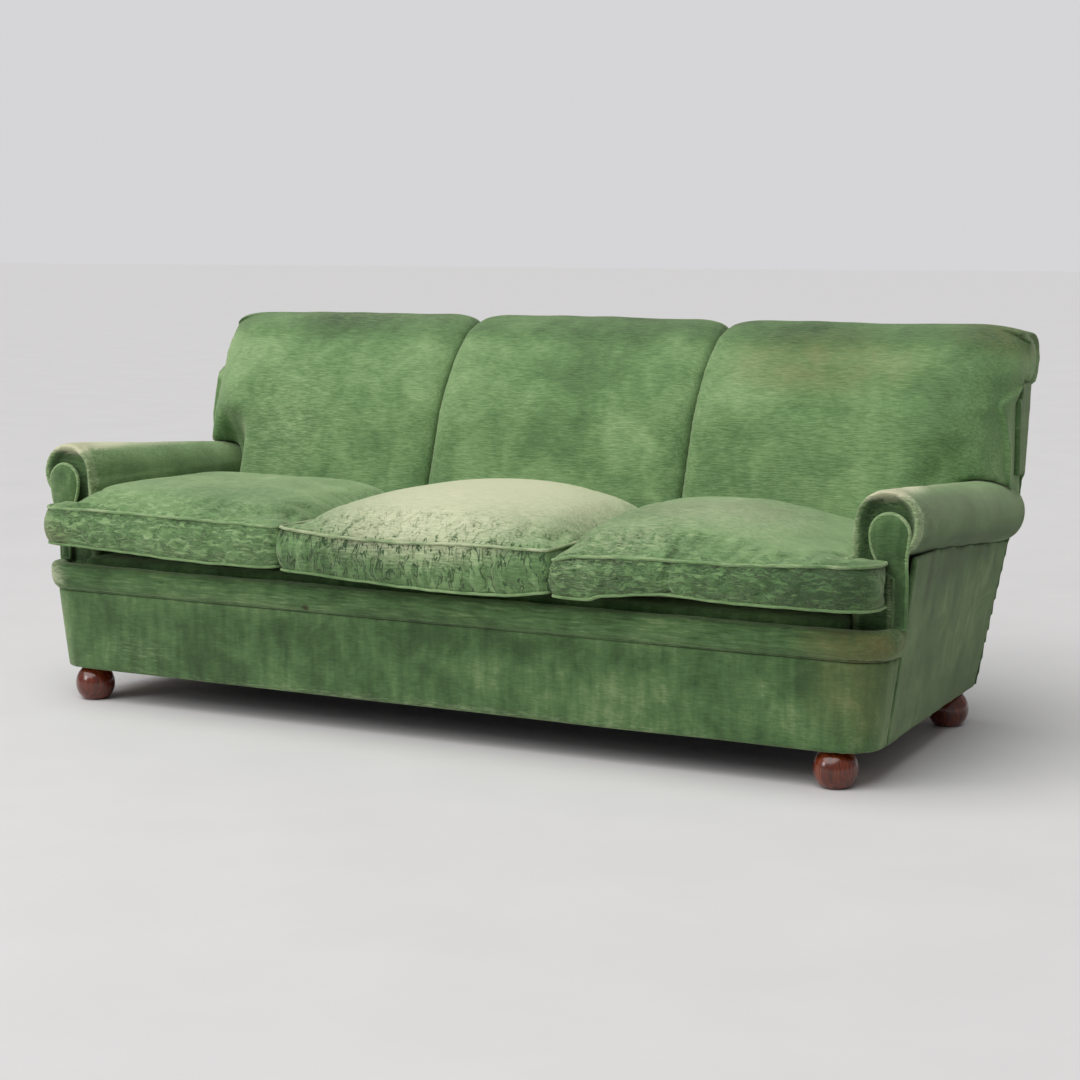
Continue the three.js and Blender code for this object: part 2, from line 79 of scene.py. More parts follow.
def linear(code, alpha=1.0):
    parts = [int(code[i:i + 2], 16) / 255 for i in (1, 3, 5)]
    turned = [p / 12.92 if p <= 0.04045 else ((p + 0.055) / 1.055) ** 2.4 for p in parts]
    return (*turned, alpha)


def addNode(tree, kind, settings=None, links=None, out=0):
    node = tree.nodes.new("ShaderNode" + kind)
    for key, value in (settings or {}).items():
        if isinstance(key, str) and hasattr(node, key):
            setattr(node, key, value)
        else:
            node.inputs[key].default_value = value
    for key, source in (links or {}).items():
        tree.links.new(source, node.inputs[key])
    return node.outputs[out] if len(node.outputs) else node


def setRamp(ramp, stops):
    points = ramp.node.color_ramp.elements
    while len(points) < len(stops):
        points.new(0.5)
    for point, (place, code) in zip(points, stops):
        point.position = place
        point.color = linear(code)


def emptyMaterial(name):
    material = bpy.data.materials.new(name)
    material.use_nodes = True
    material.node_tree.nodes.clear()
    return material, material.node_tree


# Worn cotton velvet with a slubbed pile: short thick ribs that catch the light along the
# weft, pressed patches where the pile lies the other way, and pale threads where it is bald.
velvetLook = {
    "tones": [(0.0, "#3a5233"), (0.36, "#5f7f50"), (0.62, "#7f9d6a"), (1.0, "#b4c294")],
    "bare": "#d2d2b0",
    "soil": "#75613c",
    "spot": "#3b1d14",
    "sheen": 0.55,
    "sheenTint": "#dfe8c4",
    "slubLength": 24.0,  # mm, one slub along the weft
    "slubWidth": 3.2,  # mm, real ones are near 2 and would not show
    "slubDepth": 4.0,  # mm, the same where the cloth faces up
    "fold": (27.0, 26.0, 6.5),  # mm, pressed folds where the cloth is crushed
    "foldGaps": 38.0,  # per metre, where a fold's line breaks off
    "patch": 95.0,  # mm, one pressed patch
    "cloud": 420.0,  # mm, broad fading
    "pile": 2.2,  # mm, tufts, drawn coarser than the real pile
    "streaks": (48.0, 48.0, 7.0),  # per metre, upright streaks in the nap
    "curls": 24.0,  # per metre, bends of the weft
    "weftDrift": (0.008, 0.005, 0.005),  # m, how far such bends carry the slubs
    "foldDrift": (0.03, 0.0, 0.03),  # m, and the folds
    "slub": 0.85, "patches": 0.7, "fading": 0.6, "nap": 0.0,  # each layer's share of the tone
    "paintedShadeDepth": 0.55,  # how far the darkened mark, mostly painted shade, pulls the tone down
    "crush": 1.0,  # share of the pressed folds' mottling
    "line": 0.32,  # how dark a fold's line is: the pressed pile's line, partly painted shade in its crease
    "lineWidth": 0.045, "lineGaps": (0.38, 0.52),
    "rubSpread": 0.75, "rubStart": -0.42, "rubRange": (0.12, 0.95),
    "tuftHeight": 0.28, "foldHeight": 2.4, "lineDepth": 0.7,
    "bump": 0.0022,
    "rough": (0.95, 0.78),  # full pile, bald
}


def velvet(name, changes=None):
    look = {**velvetLook, **(changes or {})}
    material, tree = emptyMaterial(name)
    coord = addNode(tree, "TexCoord", out="Object")
    curl = addNode(
        tree, "TexNoise", {"Scale": look["curls"], "Detail": 2.0}, {"Vector": coord}, "Color"
    )

    def bent(reach):  # carries a pattern off its line by up to half of reach either way
        offset = addNode(
            tree, "VectorMath",
            {"operation": "MULTIPLY_ADD", 1: reach, 2: [-0.5 * size for size in reach]}, {0: curl},
        )
        return addNode(tree, "VectorMath", {"operation": "ADD"}, {0: coord, 1: offset})

    def plus(base, source, share, clamped=False):
        return addNode(
            tree, "Math", {"operation": "MULTIPLY_ADD", "use_clamp": clamped, 1: share},
            {0: source, 2: base},
        )

    weftPlace = bent(look["weftDrift"])
    slubSize = (look["slubLength"], look["slubDepth"], look["slubWidth"])
    weft = addNode(
        tree, "Mapping", {"Scale": [1000 / size for size in slubSize]}, {"Vector": weftPlace}
    )
    slubs = addNode(
        tree, "TexNoise", {"Scale": 1.0, "Detail": 5.0, "Roughness": 0.68}, {"Vector": weft}
    )
    patches = addNode(
        tree, "TexNoise",
        {"Scale": 1000 / look["patch"], "Detail": 6.0, "Roughness": 0.62, "Distortion": 0.5},
        {"Vector": coord},
    )
    cloud = addNode(
        tree, "TexNoise", {"Scale": 1000 / look["cloud"], "Detail": 2.0}, {"Vector": coord}
    )
    upright = addNode(tree, "Mapping", {"Scale": look["streaks"]}, {"Vector": weftPlace})
    streaks = addNode(
        tree, "TexNoise", {"Scale": 1.0, "Detail": 4.0, "Roughness": 0.55}, {"Vector": upright}
    )
    layers = [
        (slubs, look["slub"]), (patches, look["patches"]), (cloud, look["fading"]),
        (streaks, look["nap"]),
    ]
    tone = addNode(tree, "Value")
    tone.default_value = 0.5 - 0.5 * sum(share for source, share in layers)
    for source, share in layers:
        tone = plus(tone, source, share)

    # The marks' third channel darkens the tone, mostly as painted shade; on a soiled spot it also
    # turns the soil towards the dark spot colour.
    marks = addNode(tree, "Attribute", {"attribute_name": "marks"})
    crushMark = marks.node.outputs["Alpha"]
    rubMark, dirtMark, shadeAndStainMark = addNode(
        tree, "SeparateColor", None, {"Color": marks}
    ).node.outputs
    folds = addNode(
        tree, "Mapping", {"Scale": [1000 / size for size in look["fold"]]},
        {"Vector": bent(look["foldDrift"])},
    )
    pressed = addNode(
        tree, "TexNoise", {"Scale": 1.0, "Detail": 2.5, "Roughness": 0.5, "Distortion": 0.3},
        {"Vector": folds},
    )
    offLine = addNode(tree, "Math", {"operation": "SUBTRACT", 1: 0.5}, {0: pressed})
    nearLine = addNode(tree, "Math", {"operation": "ABSOLUTE"}, {0: offLine})
    line = addNode(
        tree, "MapRange",
        {"interpolation_type": "SMOOTHSTEP", "From Max": look["lineWidth"], "To Min": 1.0,
         "To Max": 0.0}, {"Value": nearLine},
    )
    gapNoise = addNode(
        tree, "TexNoise", {"Scale": look["foldGaps"], "Detail": 3.0}, {"Vector": coord}
    )
    low, high = look["lineGaps"]
    gaps = addNode(
        tree, "MapRange",
        {"interpolation_type": "SMOOTHSTEP", "From Min": low, "From Max": high},
        {"Value": gapNoise},
    )
    brokenLine = addNode(tree, "Math", {"operation": "MULTIPLY"}, {0: line, 1: gaps})
    cracks = addNode(tree, "Math", {"operation": "MULTIPLY"}, {0: brokenLine, 1: crushMark})
    crushed = addNode(tree, "Math", {"operation": "MULTIPLY"}, {0: offLine, 1: crushMark})

    shadedTone = plus(tone, shadeAndStainMark, -look["paintedShadeDepth"])
    mottled = plus(shadedTone, crushed, look["crush"])
    ramp = addNode(tree, "ValToRGB", None, {"Fac": plus(mottled, cracks, -look["line"])})
    setRamp(ramp, look["tones"])
    slubRub = addNode(
        tree, "Math",
        {"operation": "MULTIPLY_ADD", 1: look["rubSpread"], 2: look["rubStart"]}, {0: slubs},
    )
    wornAll = addNode(
        tree, "Math", {"operation": "ADD", "use_clamp": True}, {0: rubMark, 1: slubRub}
    )
    low, high = look["rubRange"]
    rubbed = addNode(
        tree, "MapRange",
        {"interpolation_type": "SMOOTHSTEP", "From Min": low, "From Max": high},
        {"Value": plus(wornAll, cracks, -0.5, clamped=True)},
    )
    faded = addNode(
        tree, "Mix", {"data_type": "RGBA", 7: linear(look["bare"])}, {0: rubbed, 6: ramp}, 2
    )
    patchy = addNode(tree, "MapRange", {"From Min": 0.3, "From Max": 0.7}, {"Value": patches})
    dirt = addNode(
        tree, "Math", {"operation": "MULTIPLY", "use_clamp": True}, {0: dirtMark, 1: patchy}
    )
    soiling = addNode(
        tree, "Mix", {"data_type": "RGBA", 6: linear(look["soil"]), 7: linear(look["spot"])},
        {0: shadeAndStainMark}, 2,
    )
    colour = addNode(tree, "Mix", {"data_type": "RGBA"}, {0: dirt, 6: faded, 7: soiling}, 2)

    tufts = addNode(
        tree, "TexNoise", {"Scale": 1000 / look["pile"], "Detail": 2.0, "Roughness": 0.7},
        {"Vector": coord},
    )
    height = plus(slubs, tufts, look["tuftHeight"])
    height = plus(height, crushed, look["foldHeight"])
    height = plus(height, cracks, -look["lineDepth"])
    bump = addNode(
        tree, "Bump", {"Strength": 1.0, "Distance": look["bump"]}, {"Height": height}
    )
    full, bald = look["rough"]
    rough = addNode(tree, "MapRange", {"To Min": full, "To Max": bald}, {"Value": rubbed})
    shader = addNode(
        tree, "BsdfPrincipled",
        {"Sheen Weight": look["sheen"], "Sheen Roughness": 0.42,
         "Sheen Tint": linear(look["sheenTint"]), "Specular IOR Level": 0.25},
        {"Base Color": colour, "Roughness": rough, "Normal": bump},
    )
    addNode(tree, "OutputMaterial", None, {"Surface": shader})
    return material


def grained(name, look):
    material, tree = emptyMaterial(name)
    coord = addNode(tree, "TexCoord", out="Object")
    along = addNode(tree, "Mapping", {"Scale": look["stretch"]}, {"Vector": coord})
    lines = addNode(
        tree, "TexNoise",
        {"Scale": 1.0, "Detail": 6.0, "Roughness": 0.6, "Distortion": look["curl"]},
        {"Vector": along},
    )
    ramp = addNode(tree, "ValToRGB", None, {"Fac": lines})
    setRamp(ramp, look["tones"])
    low, high = look["rough"]
    rough = addNode(tree, "MapRange", {"To Min": low, "To Max": high}, {"Value": lines})
    bump = addNode(tree, "Bump", {"Distance": look["bump"]}, {"Height": lines})
    shader = addNode(
        tree, "BsdfPrincipled",
        {"Metallic": look.get("metal", 0.0), "Coat Weight": look.get("coat", 0.0),
         "Coat Roughness": 0.12},
        {"Base Color": ramp, "Roughness": rough, "Normal": bump},
    )
    addNode(tree, "OutputMaterial", None, {"Surface": shader})
    return material


shadedBaseTones = [(0.0, "#263b22"), (0.36, "#3f5a35"), (0.62, "#557347"), (1.0, "#86996b")]
greenVelvet = velvet("slubbedCottonVelvet")
# The base's covers: darker tones, partly less faded cloth and partly painted shade, with upright
# streaks where hands brushed the nap.
panelVelvet = velvet("slubbedCottonVelvetPanel", {
    "nap": 0.6, "slub": 0.6, "patches": 1.1, "tones": shadedBaseTones,
})
# The middle cushion's cover: its folds run up and down, and their lines are sharper.
fadedVelvet = velvet("fadedCottonVelvet", {"fold": (14.0, 26.0, 52.0), "line": 0.5, "crush": 0.6})
# The padded edge's cover: the same cloth in the base's darker tones, partly painted shade, with
# long light slubs left by the knees' rubbing.
edgeVelvet = velvet("slubbedCottonVelvetEdge", {
    "slub": 1.2, "slubLength": 60.0, "slubWidth": 5.0, "slubDepth": 6.25, "patches": 0.9,
    "tones": shadedBaseTones,
})

# Beech stained red brown and varnished: even tone, faint upright grain, a wet looking shine.
stainedBeech = grained("stainedVarnishedBeech", {
    "stretch": (90.0, 90.0, 14.0), "curl": 1.2, "rough": (0.18, 0.34), "bump": 0.0002,
    "coat": 0.5, "tones": [(0.25, "#2a0b03"), (0.5, "#5c210a"), (0.78, "#8a3c14")],
})
# Sawn pine left raw: pale, dull, with grain lines along the length.
rawPine = grained("sawnPine", {
    "stretch": (8.0, 60.0, 60.0), "curl": 0.8, "rough": (0.7, 0.9), "bump": 0.0005,
    "tones": [(0.3, "#9a7448"), (0.5, "#b9925f"), (0.75, "#cdaa78")],
})
# Jute webbing: coarse tan yarn, matt.
juteWeb = grained("wovenJute", {
    "stretch": (260.0, 260.0, 30.0), "curl": 0.2, "rough": (0.9, 1.0), "bump": 0.0012,
    "tones": [(0.3, "#6f5734"), (0.55, "#977a4d"), (0.8, "#b79b6c")],
})
# Black cotton dust cover: thin, matt, greyed by lint.
blackCotton = grained("blackCottonCover", {
    "stretch": (420.0, 420.0, 60.0), "curl": 0.3, "rough": (0.9, 1.0), "bump": 0.0004,
    "tones": [(0.3, "#141414"), (0.6, "#232322"), (0.9, "#3a3835")],
})
# Copper washed spring wire, dulled.
springWire = grained("dulledSpringWire", {
    "stretch": (120.0, 120.0, 120.0), "curl": 0.5, "rough": (0.35, 0.6), "bump": 0.0001,
    "metal": 1.0, "tones": [(0.3, "#5d534b"), (0.6, "#85776a"), (0.9, "#a39688")],
})
print("materials made")


# mesh tools

def makeObject(mesh, name):
    data = bpy.data.meshes.new(name)
    mesh.to_mesh(data)
    mesh.free()
    piece = bpy.data.objects.new(name, data)
    sceneData.collection.objects.link(piece)
    return piece


def copyNode(name):
    mesh = bmesh.new()
    mesh.from_mesh(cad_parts[name].data)
    bmesh.ops.remove_doubles(mesh, verts=mesh.verts, dist=0.0001)
    bmesh.ops.recalc_face_normals(mesh, faces=mesh.faces)
    return mesh


def applyModifiers(piece):
    graph = bpy.context.evaluated_depsgraph_get()
    solid = bpy.data.meshes.new_from_object(piece.evaluated_get(graph))
    old = piece.data
    piece.modifiers.clear()
    piece.data = solid
    bpy.data.meshes.remove(old)


def evenMesh(piece, voxel, smoothing):
    remesh = piece.modifiers.new("even", "REMESH")
    remesh.mode = "VOXEL"
    remesh.voxel_size = voxel
    relax = piece.modifiers.new("relax", "SMOOTH")
    relax.factor = 0.5
    relax.iterations = smoothing
    applyModifiers(piece)


def refine(piece, levels):
    rounded = piece.modifiers.new("refine", "SUBSURF")
    rounded.levels = levels
    rounded.render_levels = levels
    applyModifiers(piece)


def reshape(piece, move):
    data = piece.data
    normals = [vertex.normal.copy() for vertex in data.vertices]
    for vertex, normal in zip(data.vertices, normals):
        vertex.co = move(vertex.co.copy(), normal)
    data.update()


def relaxWhere(piece, chosen, times):
    mesh = bmesh.new()
    mesh.from_mesh(piece.data)
    verts = [vertex for vertex in mesh.verts if chosen(vertex.co)]
    for step in range(times):
        bmesh.ops.smooth_vert(mesh, verts=verts, factor=0.5, use_axis_x=True, use_axis_y=True,
                              use_axis_z=True)
    mesh.to_mesh(piece.data)
    mesh.free()


def smoothStep(low, high, value):
    share = min(1.0, max(0.0, (value - low) / (high - low)))
    return share * share * (3 - 2 * share)


def wave(point, scale, seed):
    return noise.noise(Vector((point.x * scale[0], point.y * scale[1], point.z * scale[2] + seed)))


def tableAt(table, value):
    if value <= table[0][0]:
        return table[0][1]
    for (a, low), (b, high) in zip(table, table[1:]):
        if value <= b:
            return low + (high - low) * (value - a) / (b - a)
    return table[-1][1]


def paintMarks(piece, spots, extra=None):
    layer = piece.data.color_attributes.new("marks", "FLOAT_COLOR", "POINT")
    normals = [vertex.normal.copy() for vertex in piece.data.vertices]
    values = []
    for vertex, normal in zip(piece.data.vertices, normals):
        mark = [0.0, 0.0, 0.0, 0.0]  # worn, soiled, darkened (mostly painted shade; on a soiled spot it also darkens the soil), crushed
        for channel, centre, reach, strength in spots:
            away = [(p - c) / r for p, c, r in zip(vertex.co, centre, reach)]
            gone = sum(a * a for a in away)
            if gone < 1:
                mark[channel] += strength * (1 - gone) ** 1.3
        if extra:
            mark = [m + e for m, e in zip(mark, extra(vertex.co, normal))]
        values += mark
    layer.data.foreach_set("color", values)


def finishPiece(piece, material, slot, nodes=(), fill=None):
    piece.data.materials.clear()
    piece.data.materials.append(material)
    for face in piece.data.polygons:
        face.use_smooth = True
    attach(piece, "root")
    if nodes:
        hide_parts(*nodes)
    print("made", piece.name, len(piece.data.polygons))


def tube(name, path, radius, closed=True):
    data = bpy.data.curves.new(name, "CURVE")
    data.dimensions = "3D"
    data.bevel_depth = radius
    data.bevel_resolution = 2
    data.use_fill_caps = not closed
    spline = data.splines.new("POLY")
    spline.points.add(len(path) - 1)
    for point, place in zip(spline.points, path):
        point.co = (*place, 1.0)
    spline.use_cyclic_u = closed
    drawn = bpy.data.objects.new(name, data)
    sceneData.collection.objects.link(drawn)
    graph = bpy.context.evaluated_depsgraph_get()
    mesh = bpy.data.meshes.new_from_object(drawn.evaluated_get(graph))
    bpy.data.objects.remove(drawn)
    piece = bpy.data.objects.new(name, mesh)
    sceneData.collection.objects.link(piece)
    return piece


def spread(path, pitch, closed=True):
    ends = path + [path[0]] if closed else path
    result = []
    for a, b in zip(ends, ends[1:]):
        steps = max(1, round((b - a).length / pitch))
        result += [a.lerp(b, i / steps) for i in range(steps)]
    return result if closed else result + [path[-1]]


# seat cushions

cushionLook = {
    "bottom": 0.351, "top": 0.447,
    "front": -0.480, "rear": 0.082,
    "middleHalf": 0.3295,
    "inner": 0.3325, "outer": 1.012, "outerLeft": 0.994,
    "armSide": 0.920, "armFront": -0.368,
    "cornerRound": 0.060, "smallRound": 0.014,
    "pitch": 0.011,
    "start": 0.004,  # the cover starts this much inside its finished outline
    "frontFall": (2.3, 0.75), "rearFall": (6, 0.6),  # how the crown runs down: power, root
    "bow": (0.001, 0.011), "bowReach": 0.05,  # the sides bow out, most at the free front
    "pressure": 3.5, "cap": 0.015, "frames": 20, "spare": 0.03, "mass": 0.3, "quality": 5,
    "restDrop": 0.017,  # underside settles onto the deck
    "flatFrom": 0.03, "flatReach": 0.22,  # how far back the underside stays level
    "flatRise": 0.002,
    "crackBend": 0.016, "crackWidth": 0.14, "ridge": 0.6,  # folds in the sides
    "ripple": 0.0024, "foldDepth": 0.003, "foldWidth": 0.1, "lump": 0.004,  # and on the top
    "crease": {"x": 0.597, "lean": 1.0, "wide": 0.008, "deep": 0.009, "reach": 0.11},
    "piping": 0.0037, "pipingInset": 0.0022, "pipingPitch": 0.012, "lowPiping": 0.85,
    "pipingWander": (0.0012, 0.0016),
    "shadowBand": 0.012, "shadow": 0.3,  # painted shadow: a dark strip where the boxing meets the top piping
    "sagReach": 0.30,  # how far back the front edge's sag fades
}
# Each shape's shade darkens the upright sides as painted shade.
cushionShapes = {
    "left": {
        "crown": 0.044, "centre": -0.64, "seed": 3.1,
        "sides": ((0.285, 8, 0.6), (0.31, 3, 0.75)),
        "topSag": [(-1.0, 0.008), (-0.79, 0.010), (-0.58, 0.007), (-0.38, 0.003), (-0.33, 0.001)],
        "lowSag": [(-0.95, 0.012), (-0.84, 0.010), (-0.65, 0.001), (-0.51, -0.003),
                   (-0.39, -0.003), (-0.33, 0.002)],
        "crinkle": (14.0, 50.0), "depth": 0.0036, "shade": 0.16,
        "finish": (greenVelvet, "green_cloth"), "fill": 0.5, "pipingWear": 0.30,
        "spots": [(0, (-0.62, -0.2, 0.49), (0.42, 0.36, 0.12), 0.28),
                  (0, (-0.36, -0.45, 0.45), (0.22, 0.2, 0.1), 0.2),
                  (1, (-0.97, -0.42, 0.39), (0.1, 0.12, 0.06), 0.7)],
    },
    "middle": {
        "crown": 0.066, "centre": 0.0, "seed": 7.7,
        "sides": ((0.330, 2, 0.8), (0.330, 2, 0.8)),
        "topSag": [(-0.33, 0.003), (-0.21, -0.008), (-0.05, -0.012), (0.15, -0.005),
                   (0.33, -0.006)],
        "lowSag": [(-0.33, -0.004), (-0.11, -0.015), (0.06, -0.022), (0.23, -0.020),
                   (0.33, -0.006)],
        "crinkle": (40.0, 13.0), "depth": 0.0040, "shade": 0.3,
        "finish": (fadedVelvet, "faded_cloth"), "fill": 0.7, "pipingWear": 0.50,
        "spots": [(0, (0.0, -0.15, 0.50), (0.55, 0.6, 0.18), 0.95),
                  (0, (0.05, -0.49, 0.40), (0.5, 0.2, 0.12), 0.14)],
    },
    "right": {
        "crown": 0.054, "centre": 0.575, "seed": 12.4,
        "sides": ((0.245, 3.2, 0.5), (0.31, 2, 1.8)),
        "topSag": [(0.33, -0.026), (0.39, -0.012), (0.575, -0.007), (0.73, -0.007),
                   (0.92, 0.003), (1.01, 0.004)],
        "lowSag": [(0.33, -0.012), (0.42, -0.014), (0.44, -0.005), (0.578, 0.010),
                   (0.60, 0.009), (0.73, 0.003), (0.95, 0.004)],
        "crinkle": (20.0, 44.0), "depth": 0.0036, "shade": 0.42,
        "finish": (greenVelvet, "green_cloth"), "fill": 0.5, "pipingWear": 0.30,
        "spots": [(0, (0.58, -0.2, 0.49), (0.36, 0.36, 0.12), 0.46),
                  (0, (0.40, -0.45, 0.42), (0.24, 0.2, 0.12), 0.3),
                  (2, (0.95, -0.45, 0.4), (0.2, 0.2, 0.09), 0.3)],
    },
}


def behindFront(y):
    return y - cushionLook["front"] - depthShift


def cushionOutline(side, inset):
    look = cushionLook
    front, rear = look["front"] + inset + depthShift, look["rear"] - inset + depthShift
    if side == "middle":
        half = look["middleHalf"] - inset
        return [(-half, front), (half, front), (half, rear), (-half, rear)]
    sign = sideSigns[side]
    inner = look["inner"] + inset
    outer = look["outerLeft" if side == "left" else "outer"] - inset
    armSide, armFront = look["armSide"] - inset, look["armFront"] - inset + depthShift
    plan = [(inner, front), (outer, front), (outer, armFront), (armSide, armFront),
            (armSide, rear), (inner, rear)]
    plan = [(x * sign, y) for x, y in plan]
    return plan if sign > 0 else plan[::-1]


def cushionPrism(side, inset):
    look = cushionLook
    mesh = bmesh.new()
    bottom, top = look["bottom"] + inset, look["top"] - inset
    corners = [mesh.verts.new((x, y, bottom)) for x, y in cushionOutline(side, inset)]
    base = mesh.faces.new(corners)
    raised = bmesh.ops.extrude_face_region(mesh, geom=[base])["geom"]
    lifted = [part for part in raised if isinstance(part, bmesh.types.BMVert)]
    bmesh.ops.translate(mesh, verts=lifted, vec=(0, 0, top - bottom))
    bmesh.ops.recalc_face_normals(mesh, faces=mesh.faces)
    upright = [e for e in mesh.edges if abs(e.verts[0].co.z - e.verts[1].co.z) > 0.01]
    frontOuter = [
        e for e in upright
        if abs(e.verts[0].co.x) > look["outerLeft"] - 0.03
        and e.verts[0].co.y < look["front"] + depthShift + 0.03
    ]
    others = [e for e in upright if e not in frontOuter]
    for edges, size, steps in ((frontOuter, look["cornerRound"], 6),
                               (others, look["smallRound"], 2)):
        if edges:
            bmesh.ops.bevel(mesh, geom=edges, offset=size, offset_type="OFFSET", segments=steps,
                            profile=0.5, affect="EDGES", material=-1)
    return mesh


def sliceMesh(mesh, axis, pitch):
    values = [vertex.co[axis] for vertex in mesh.verts]
    low, high = min(values), max(values)
    count = max(1, round((high - low) / pitch))
    for i in range(1, count):
        place, normal = [0, 0, 0], [0, 0, 0]
        place[axis], normal[axis] = low + (high - low) * i / count, 1
        bmesh.ops.bisect_plane(
            mesh, geom=mesh.verts[:] + mesh.edges[:] + mesh.faces[:], dist=0.0008,
            plane_co=place, plane_no=normal,
        )


def crownAt(shape, x, y):
    look = cushionLook
    half, power, root = shape["sides"][x > shape["centre"]]
    across = min(1.0, abs(x - shape["centre"]) / half)
    middle, length = (look["front"] + look["rear"]) / 2, look["rear"] - look["front"]
    along = (y - middle - depthShift) * 2 / length
    fall, curve = look["rearFall" if along > 0 else "frontFall"]
    return (1 - min(1.0, abs(along)) ** fall) ** curve * (1 - across ** power) ** root


def sagAt(side, x, y, z):
    look, shape = cushionLook, cushionShapes[side]
    fade = 1 - smoothStep(0, look["sagReach"], behindFront(y))
    share = min(1.0, max(0.0, (z - look["bottom"]) / (look["top"] - look["bottom"])))
    low, top = tableAt(shape["lowSag"], x), tableAt(shape["topSag"], x)
    return fade * (low + (top - low) * share)


def stuff(piece, pinned):
    look = cushionLook
    start = [vertex.co.copy() for vertex in piece.data.vertices]
    group = piece.vertex_groups.new(name="seams")
    group.add(pinned, 1.0, "REPLACE")
    cloth = piece.modifiers.new("stuffing", "CLOTH")
    cover = cloth.settings
    cover.quality = look["quality"]
    cover.mass = look["mass"]
    cover.vertex_group_mass = "seams"
    cover.use_pressure = True
    cover.uniform_pressure_force = look["pressure"]
    cover.shrink_min = -look["spare"]
    cover.effector_weights.gravity = 0
    cloth.collision_settings.use_collision = False
    cloth.point_cache.frame_start = 1
    cloth.point_cache.frame_end = look["frames"]
    for step in range(1, look["frames"] + 1):
        sceneData.frame_set(step)
    applyModifiers(piece)
    sceneData.frame_set(1)
    piece.vertex_groups.clear()
    furthest = 0
    for vertex, place in zip(piece.data.vertices, start):
        move = vertex.co - place
        furthest = max(furthest, move.length)
        if move.length > look["cap"]:
            vertex.co = place + move * (look["cap"] / move.length)
    print("stuffed", piece.name, "moved at most", round(furthest * 1000), "mm")


